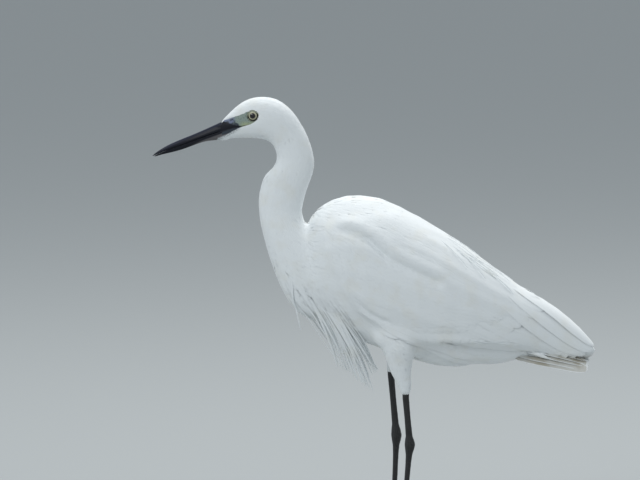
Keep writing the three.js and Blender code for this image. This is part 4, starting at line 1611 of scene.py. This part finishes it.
plumes = free(STRAND, starts, controls, ends, outs, PLUME_WIDTH * chance.uniform(0.5, 1.1, PLUME_COUNT))
rise = np.interp(STRAND.shares[1:-1], PLUME_SHARES, PLUME_HEIGHTS[1:])
clearance = np.concatenate([PLUME_HEIGHTS[:1], np.repeat(rise, len(STRAND.across)), PLUME_HEIGHTS[-1:]])
plumes.points = kept_outside(plumes.points, clearance)

lone_route = np.array([seen(*point, LONE_NEARER) for point in LONE_PLUME])
lone_spots = on_side(lone_route, LEFT)
lone_spots[:, [0, 2]] = lone_route
lone_spots[1:, 1] -= LONE_LIFT
lone = free(STRAND, *lone_spots[:, None], [LONE_OUT], LONE_WIDTH)
lone.points = kept_outside(lone.points, clearance + LONE_HIGHER)
add_feathers("breast_plumes_fine", [plumes, lone], soft_look, replaced=["breast_plumes"])

# %% Wisps of back and wing
WISPS = (  # line, how much nearer than the middle plane it is, count, reach, rise
    (((440, 236), (455, 246), (470, 255), (482, 264)), 10 * MM, 14, 42 * MM, 3.2 * MM),
    (((465, 338), (480, 340), (497, 341), (508, 343)), WING_NEARER, 16, 30 * MM, 2.5 * MM),
)
WISP_WIDTH = 0.7 * MM
WISP_TURN = 0.12
ROOT_SPREAD = 2 * MM


def wisps(side, line, nearer, count, reach, rise):
    """Loose threads that start in the coat on a line and stand off it by rise at half their reach."""
    roots = spread([seen(*corner, nearer) for corner in line], count)
    roots = on_side(roots + chance.normal(0, ROOT_SPREAD, roots.shape), side)
    steps = [np.full(count, reach / 2)] * 2 + [0]
    spots, outs, _ = walked(roots, steps, chance.normal(0, WISP_TURN, count))
    lifted = spots[:, 1] + outs[:, 1] * (rise * chance.uniform(0.5, 1.5, count))[:, None]
    ends = spots[:, 2] + outs[:, 2] * (rise * chance.uniform(-0.2, 0.8, count))[:, None]
    return free(STRAND, spots[:, 0], lifted, ends, outs[:, 1], WISP_WIDTH * chance.uniform(0.7, 1.2, count))


groups = [wisps(side, *row) for side in (LEFT, RIGHT) for row in WISPS]
add_feathers("loose_wisps", groups, soft_look)

# %% [markdown]
# ## Bill
#
# The bill is two horn sheaths. Each is lofted through sections whose top, bottom and width are measured
# off its solid, so it keeps the true outline, and then gets what the solid leaves out: the rounded
# ridge, the groove that runs forward from the nostril, and the slit of the nostril itself.

# %% Bill shapes
BILL_STATIONS = 90
BILL_AROUND = 40
BILL_ROOT = -0.147  # X inside the head where the horn ends
SOUND_END = -0.166  # X where the head starts to cover the solids of the bill
MEETING = 0.30 * MM  # how far each half reaches into the thin cut between the solids
NOSTRIL = (-0.1545, 0.4218)  # X and Z
NOSTRIL_HALVES = (2.4 * MM, 0.45 * MM)
NOSTRIL_DEPTH = 0.9 * MM
GROOVE_DEPTH = 0.38 * MM
GROOVE_LEVEL = (0.52, 0.16)  # where between edge and ridge the groove runs, and half its width
GROOVE_END = (0.180, 0.200)  # -X where it starts to fade and where it ends
MEASURES = 40  # stations at which a solid is measured
MEASURED_TO = -0.163  # X of the last of them
LEVELS = (0.2, 0.35, 0.5, 0.65, 0.8)  # heights at which the width is looked for
OVER_BILL = 0.6  # Z above the bill, and a distance beside it
BESIDE_BILL = 0.1
CURVE_DEGREE = 4
TIP_CLOSING = 2.5 * MM  # how far behind the tip the bill has its full section
WIDEST = {True: 0.12, False: 0.86}  # height of the widest place, for the upper and the lower half
ROUNDNESS = {True: (2.1, 2.5), False: (2.5, 2.0)}  # above and below it: 2 is an ellipse, more is boxier


def measured(name):
    """Smooth curves for top, bottom and half width of a bill solid along X."""
    places, faces = mesh_arrays(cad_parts[name].data)
    tree = BVHTree.FromPolygons(places.tolist(), faces)
    stations = np.linspace(places[:, 0].min() + 0.5 * MM, MEASURED_TO, MEASURES)
    rows = []
    for x in stations:
        top = tree.ray_cast(Vector((x, 0, OVER_BILL)), Vector((0, 0, -1)))[0].z
        bottom = tree.ray_cast(Vector((x, 0, 0)), Vector((0, 0, 1)))[0].z
        widths = []
        for share in LEVELS:
            level = Vector((x, -BESIDE_BILL, bottom + (top - bottom) * share))
            hit = tree.ray_cast(level, Vector((0, 1, 0)))
            widths.append(-hit[0].y if hit[0] else 0)
        rows.append((top, bottom, max(widths)))
    return places[:, 0].min(), [np.polyfit(stations, column, CURVE_DEGREE) for column in np.array(rows).T]


def bill_half(name, upper):
    """One half of the bill as a grid of points, station by station."""
    tip, curves = measured(name)
    share = np.linspace(0, 1, BILL_STATIONS) ** 1.5
    x = tip + (BILL_ROOT - tip) * share
    inner = np.minimum(x, SOUND_END)
    top, bottom, half = (
        np.polyval(curve, inner) + np.polyval(np.polyder(curve), SOUND_END) * (x - inner) for curve in curves
    )
    closing = np.sqrt(np.clip((x - tip) / TIP_CLOSING, 0, 1))
    top, bottom = (top, bottom - MEETING) if upper else (top + MEETING, bottom)
    middle = (top + bottom) / 2
    top, bottom = middle + (top - middle) * closing, middle + (bottom - middle) * closing
    half = half * closing
    angle = np.linspace(0, 2 * math.pi, BILL_AROUND, endpoint=False)
    across, up = np.cos(angle)[None], np.sin(angle)[None]
    top, bottom = top[:, None], bottom[:, None]
    widest = bottom + (top - bottom) * WIDEST[upper]
    power = 2 / np.where(up > 0, *ROUNDNESS[upper])
    y = half[:, None] * np.sign(across) * np.abs(across) ** power
    z = widest + np.where(up > 0, top - widest, widest - bottom) * np.sign(up) * np.abs(up) ** power
    x = np.broadcast_to(x[:, None], y.shape)
    if upper:
        level = (z - widest) / np.maximum(top - widest, 0.1 * MM)
        groove = np.exp(-((level - GROOVE_LEVEL[0]) / GROOVE_LEVEL[1]) ** 2) * (1 - ramp(-x, *GROOVE_END))
        ahead, raised = (x - NOSTRIL[0]) / NOSTRIL_HALVES[0], (z - NOSTRIL[1]) / NOSTRIL_HALVES[1]
        slit = np.exp(-ahead ** 4 - raised ** 2)
        y = y - np.sign(y) * np.minimum(GROOVE_DEPTH * groove + NOSTRIL_DEPTH * slit, np.abs(y))
    return np.stack([x, y, z], axis=-1)


def loft(name, grid, look, replaced, smooth_below=50):
    """A closed piece through rings of points, with a point at each end."""
    stations, around = grid.shape[:2]
    places = np.concatenate([grid[:1].mean(axis=1), grid.reshape(-1, 3), grid[-1:].mean(axis=1)])
    faces = Style.ring_faces(stations, around)
    return add_piece(name, make_mesh(name, places, faces, smooth_below), look, replaced)


print("bill shapes ready")

# %% Bill
# A painted sheen: navy where the ridge of the upper half catches the light
NAVY_SHEEN = (0.030, 0.035, 0.070, 1)
SHEEN_RIDGE_SLOPE = 0.44  # this border and the base's climb so much for each step along X
SHEEN_RIDGE_ABOVE = (0.4885, 0.4935)
BASE_X = (-0.185, -0.168)
BASE_SLOPE = 0.375
BASE_BELOW = (0.4728, 0.4706)


def bill_look(name, upper):
    """Horn black, with a painted navy sheen along the ridge of the upper half and a dusky base on the lower
    one.
    """
    look = Look(name, Roughness=0.34, Specular_IOR_Level=0.16)
    place = look.place()
    x, z = look.part(place, "X"), look.part(place, "Z")
    streaks = look.noise(260, 3, place, (0.12, 1, 1))
    if upper:
        # Painted sheen along the top of the ridge, in streaks
        ridge_sheen = (z - x * SHEEN_RIDGE_SLOPE).smooth(*SHEEN_RIDGE_ABOVE)
        colour = look.mix(ridge_sheen * (streaks * 0.7 + 0.2), HORN_BLACK, NAVY_SHEEN)
    else:
        base = x.smooth(*BASE_X) * (z - x * BASE_SLOPE).smooth(*BASE_BELOW)
        colour = look.mix(base * 0.85, HORN_BLACK, JAW_DUSK)
    look.set("Base Color", colour)
    look.bump(streaks, 0.05 * MM)
    return look


for name, upper in (("bill_upper", True), ("bill_lower", False)):
    loft(name + "_horn", bill_half(name, upper), bill_look(name, upper), [name])

# %% [markdown]
# ## Eyes and lids
#
# The eye is a glossy ball, mostly hidden. A ring of lid frames it, with a small corner towards the
# bill. It looks a little forward, as the head narrows there. How far a point is from the axis of sight
# tells pupil from iris.

# %% Eyes
EYE_AROUND = 56
EYE_RINGS = 44
PUPIL_RADIUS = 2.6  # this and the next four in millimetres from the axis of sight
IRIS_DARK = (2.7, 3.2)
IRIS_RADIUS = 4.0
PUPIL_SOFT = 0.12  # how far its border reaches to either side
RIM_SOFT = 0.3
BACK_OF_EYE = 9  # for all that faces away
PUPIL_BLACK = (0.006, 0.006, 0.007, 1)
IRIS_YELLOW = (0.56, 0.55, 0.39, 1)
IRIS_INNER = (0.10, 0.09, 0.05, 1)
# Dark rim round the iris and at the lid's edge; on the lid it is partly painted shade
DARK_RIM_AND_SHADE = (0.022, 0.022, 0.020, 1)

eye_look = Look("eye", Roughness=0.06, Specular_IOR_Level=0.5, Coat_Weight=0.2, Coat_Roughness=0.03)
sight_gap = eye_look.attribute("sight_gap")
flecks = eye_look.noise(900, 2)
iris = eye_look.mix(sight_gap.smooth(*IRIS_DARK), IRIS_INNER, IRIS_YELLOW)
iris = eye_look.mix(flecks.smooth(0.55, 0.75) * 0.5, iris, IRIS_INNER)
outside_pupil = sight_gap.smooth(PUPIL_RADIUS - PUPIL_SOFT, PUPIL_RADIUS + PUPIL_SOFT)
iris = eye_look.mix(outside_pupil, PUPIL_BLACK, iris)
outside_iris = sight_gap.smooth(IRIS_RADIUS, IRIS_RADIUS + RIM_SOFT)
eye_look.set("Base Color", eye_look.mix(outside_iris, iris, DARK_RIM_AND_SHADE))

for side_name, side in SIDES.items():
    centre, radius = eye_middle(side_name)
    sight, front, top = eye_axes(side)
    tilt = np.linspace(0, math.pi, EYE_RINGS + 2)[1:-1, None, None]
    turn = np.linspace(0, 2 * math.pi, EYE_AROUND, endpoint=False)[None, :, None]
    spoke = np.cos(turn) * front + np.sin(turn) * top * -side
    ball = centre + radius * (np.cos(tilt) * sight + np.sin(tilt) * spoke)
    piece = loft("eyeball_" + side_name, ball, eye_look, ["eye_" + side_name], 80)
    places, _ = mesh_arrays(piece.data)
    away = places - centre
    ahead = away @ sight
    gap = np.linalg.norm(away - ahead[:, None] * sight, axis=1) / MM
    keep_value(piece.data, "sight_gap", np.where(ahead > 0, gap, BACK_OF_EYE))

# %% Lids
LID_OPENING = 4.1 * MM
LID_PALE = (0.50, 0.51, 0.38, 1)
FRONT_CORNER = (math.radians(-22), 0.9 * MM, 0.30)  # angle above the front, how far it reaches, width
REAR_CORNER = (math.radians(175), 0.3 * MM, 0.40)
LID_RINGS = (  # millimetres beyond the opening and above the ball, and share of the skin's own height
    (0.0, -0.25, 0), (0.0, 0.12, 0), (0.25, 0.42, 0), (0.7, 0.38, 0.15), (1.2, 0.10, 0.6),
    (1.65, -0.25, 0.95), (2.1, -1.1, 1),
)
LID_AROUND = 72
# The lid's dark rim is widened by painted shade: least at this angle and most opposite it
PALE_AT = math.radians(65)  # the dark rim is narrowest at this angle above the front
RIM_FADE = ((1.5, -0.4), (1.9, 0.1))  # mm beyond the opening where the rim fades and ends: gain, and least
STEEPEST = 0.97  # beyond this share of the ball's radius its height counts no further
LOOK_FROM = 0.03  # a distance well outside the head


def corner(angle, place, reach, width):
    """How much further the opening reaches at an angle, for a corner of the eye."""
    away = (angle - place + math.pi) % (2 * math.pi) - math.pi
    return reach * np.exp(-(away / width) ** 2)


lid_look = Look("lids", Roughness=0.45, Specular_IOR_Level=0.4)
rim_and_shade = lid_look.attribute("rim_and_shade")
lid_colour = lid_look.mix(0.6, bare_skin_colour(lid_look), LID_PALE)
# Painted shade: the lid's dark inner edge widens away from the front top
lid_look.set("Base Color", lid_look.mix(rim_and_shade, lid_colour, DARK_RIM_AND_SHADE))
lid_look.bump(lid_look.noise(900, 3), 0.08 * MM)


def heights_over(points, centre, sight):
    """How far the guide lies out along the axis of sight, at points square across from it."""
    heights = []
    for point in points:
        hit = guide.tree.ray_cast(Vector(point + sight * LOOK_FROM), Vector(-sight))
        heights.append((np.array(hit[0]) - centre) @ sight if hit[0] else 0)
    return np.array(heights)


for side_name, side in SIDES.items():
    centre, radius = eye_middle(side_name)
    sight, front, top = eye_axes(side)
    angle = np.linspace(0, 2 * math.pi, LID_AROUND, endpoint=False)
    opening = LID_OPENING + corner(angle, *FRONT_CORNER) + corner(angle, *REAR_CORNER)
    spoke = np.cos(angle)[:, None] * front + np.sin(angle)[:, None] * top
    away_from_pale = 0.5 - 0.5 * np.cos(angle - PALE_AT)
    fade_from, fade_to = (wider * away_from_pale + narrowest for wider, narrowest in RIM_FADE)
    rings, rims_and_shade = [], []
    for beyond, above, skin_share in LID_RINGS:
        reach = opening + beyond * MM
        flat = centre + spoke * reach[:, None]
        on_ball = np.sqrt(np.maximum(radius ** 2 - np.minimum(reach, STEEPEST * radius) ** 2, 0))
        on_skin = heights_over(flat, centre, sight)
        height = (1 - skin_share) * (on_ball + above * MM) + skin_share * (on_skin + above * MM)
        rings.append(flat + sight * height[:, None])
        rims_and_shade.append(1 - ramp(np.full(LID_AROUND, beyond), fade_from, fade_to))
    grid = np.stack(rings)
    numbers = np.arange(len(LID_RINGS) * LID_AROUND).reshape(len(LID_RINGS), LID_AROUND)
    after = np.roll(numbers, -1, axis=1)
    faces = np.stack([numbers[:-1], after[:-1], after[1:], numbers[1:]], axis=-1).reshape(-1, 4)
    faces = faces if side == LEFT else faces[:, ::-1]
    mesh = make_mesh("eyelids_" + side_name, grid.reshape(-1, 3), faces, 80)
    keep_value(mesh, "rim_and_shade", np.stack(rims_and_shade).ravel())
    add_piece("eyelids_" + side_name, mesh, lid_look)

# %% [markdown]
# ## Legs and feet
#
# The legs are black and the feet yellow, as if the bird wore slippers. Both are wrapped like the body,
# in a finer mesh. Broad plates cross the front of the shin and the tops of the toes, and small round
# scales cover the rest. Nothing may reach below the floor, so the soles are cut flat there.

# %% Legs
LEG_CELL = 0.75 * MM
LEG_ROUNDS = 12
LEG_TOP = 2.5 * MM  # what is this close to the top of a leg is raised inside the thigh
LEG_RAISE = 14 * MM
FOOT_CELL = 0.65 * MM
FOOT_ROUNDS = 10
CLAW_CELL = 0.4 * MM
CLAW_ROUNDS = 6
LEG_GROW = 0.15 * MM
LEG_SMOOTH = 80  # degrees
LEG_BLACK = (0.020, 0.021, 0.022, 1)
LEG_CREVICE = (0.006, 0.006, 0.006, 1)
FOOT_YELLOW = (0.66, 0.58, 0.10, 1)
FOOT_OLIVE = (0.22, 0.23, 0.07, 1)
SOILED_Z = (4 * MM, 10 * MM)  # the foot's yellow gets darker up the ankle
PLATE = 2.5 * MM
SCALE_COUNT = 620  # scales per metre
CLAW_BLACK = (0.022, 0.020, 0.018, 1)
TOES = ("middle", "inner", "outer", "hind")
SCALE_RELIEF = 0.16 * MM


def scaled_look(name, colour, dark, dark_share):
    """Skin with plates where the value called plates is 1 and small scales elsewhere."""
    look = Look(name, Roughness=0.42, Specular_IOR_Level=0.45)
    along = look.attribute("along") * (MM / PLATE)
    plate_edge = (along.maths("FRACT") - 0.5).maths("ABSOLUTE").smooth(0.36, 0.49)
    settings = {"feature": "DISTANCE_TO_EDGE"}
    cells = look.node("ShaderNodeTexVoronoi", settings, Vector=look.place(), Scale=SCALE_COUNT)
    scale_edge = cells.smooth(0.22, 0.04)
    plates = look.attribute("plates").smooth(0.35, 0.65)
    edge = plate_edge * plates + scale_edge * (1 - plates)
    look.set("Base Color", look.mix(edge * dark_share + look.attribute("soiled"), colour, dark))
    look.bump(1 - edge, SCALE_RELIEF)
    return look


def smooth_wrap(names, grow, cell, rounds):
    """The named solids as one smooth skin that ends at the floor."""
    places, faces = wrapped(names, grow, cell)
    places = smoothed(places, edges_of(faces), rounds)
    places[:, 2] = np.maximum(places[:, 2], 0)
    return places, faces


def scaled_piece(name, names, look, places, faces, along, plates, soiled):
    """A piece with the values that the scaled look reads."""
    mesh = make_mesh(name, places, faces, LEG_SMOOTH)
    for value_name, values in (("along", along / MM), ("plates", plates), ("soiled", soiled)):
        keep_value(mesh, value_name, values)
    add_piece(name, mesh, look, names)


leg_look = scaled_look("leg", LEG_BLACK, LEG_CREVICE, 0.8)
foot_look = scaled_look("foot", FOOT_YELLOW, FOOT_OLIVE, 0.45)
claw_look = Look("claw", Base_Color=CLAW_BLACK, Roughness=0.3)
for side_name, side in SIDES.items():
    shin = ["shank_" + side_name, "tarsus_" + side_name]
    foot = ["foot_" + side_name] + [f"toe_{toe}_{side_name}" for toe in TOES]
    claws = [f"claw_{toe}_{side_name}" for toe in TOES]

    places, faces = smooth_wrap(shin, LEG_GROW, LEG_CELL, LEG_ROUNDS)
    plates = ramp(-vertex_normals(places, faces)[:, 0], 0.1, 0.6)
    down = places[:, 2]
    down += np.where(down > down.max() - LEG_TOP, LEG_RAISE, 0)
    scaled_piece("leg_" + side_name, shin, leg_look, places, faces, down, plates, np.zeros(len(down)))

    places, faces = smooth_wrap(foot, LEG_GROW, FOOT_CELL, FOOT_ROUNDS)
    low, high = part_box("foot_" + side_name)
    ankle = (low + high) / 2
    out = np.hypot(places[:, 0] - ankle.x, places[:, 1] - ankle.y)
    plates = ramp(vertex_normals(places, faces)[:, 2], 0.2, 0.6)
    soiled = 0.5 * ramp(places[:, 2], *SOILED_Z)
    scaled_piece("foot_skin_" + side_name, foot, foot_look, places, faces, out, plates, soiled)

    places, faces = smooth_wrap(claws, 0, CLAW_CELL, CLAW_ROUNDS)
    add_piece("claws_" + side_name, make_mesh("claws", places, faces, LEG_SMOOTH), claw_look, claws)
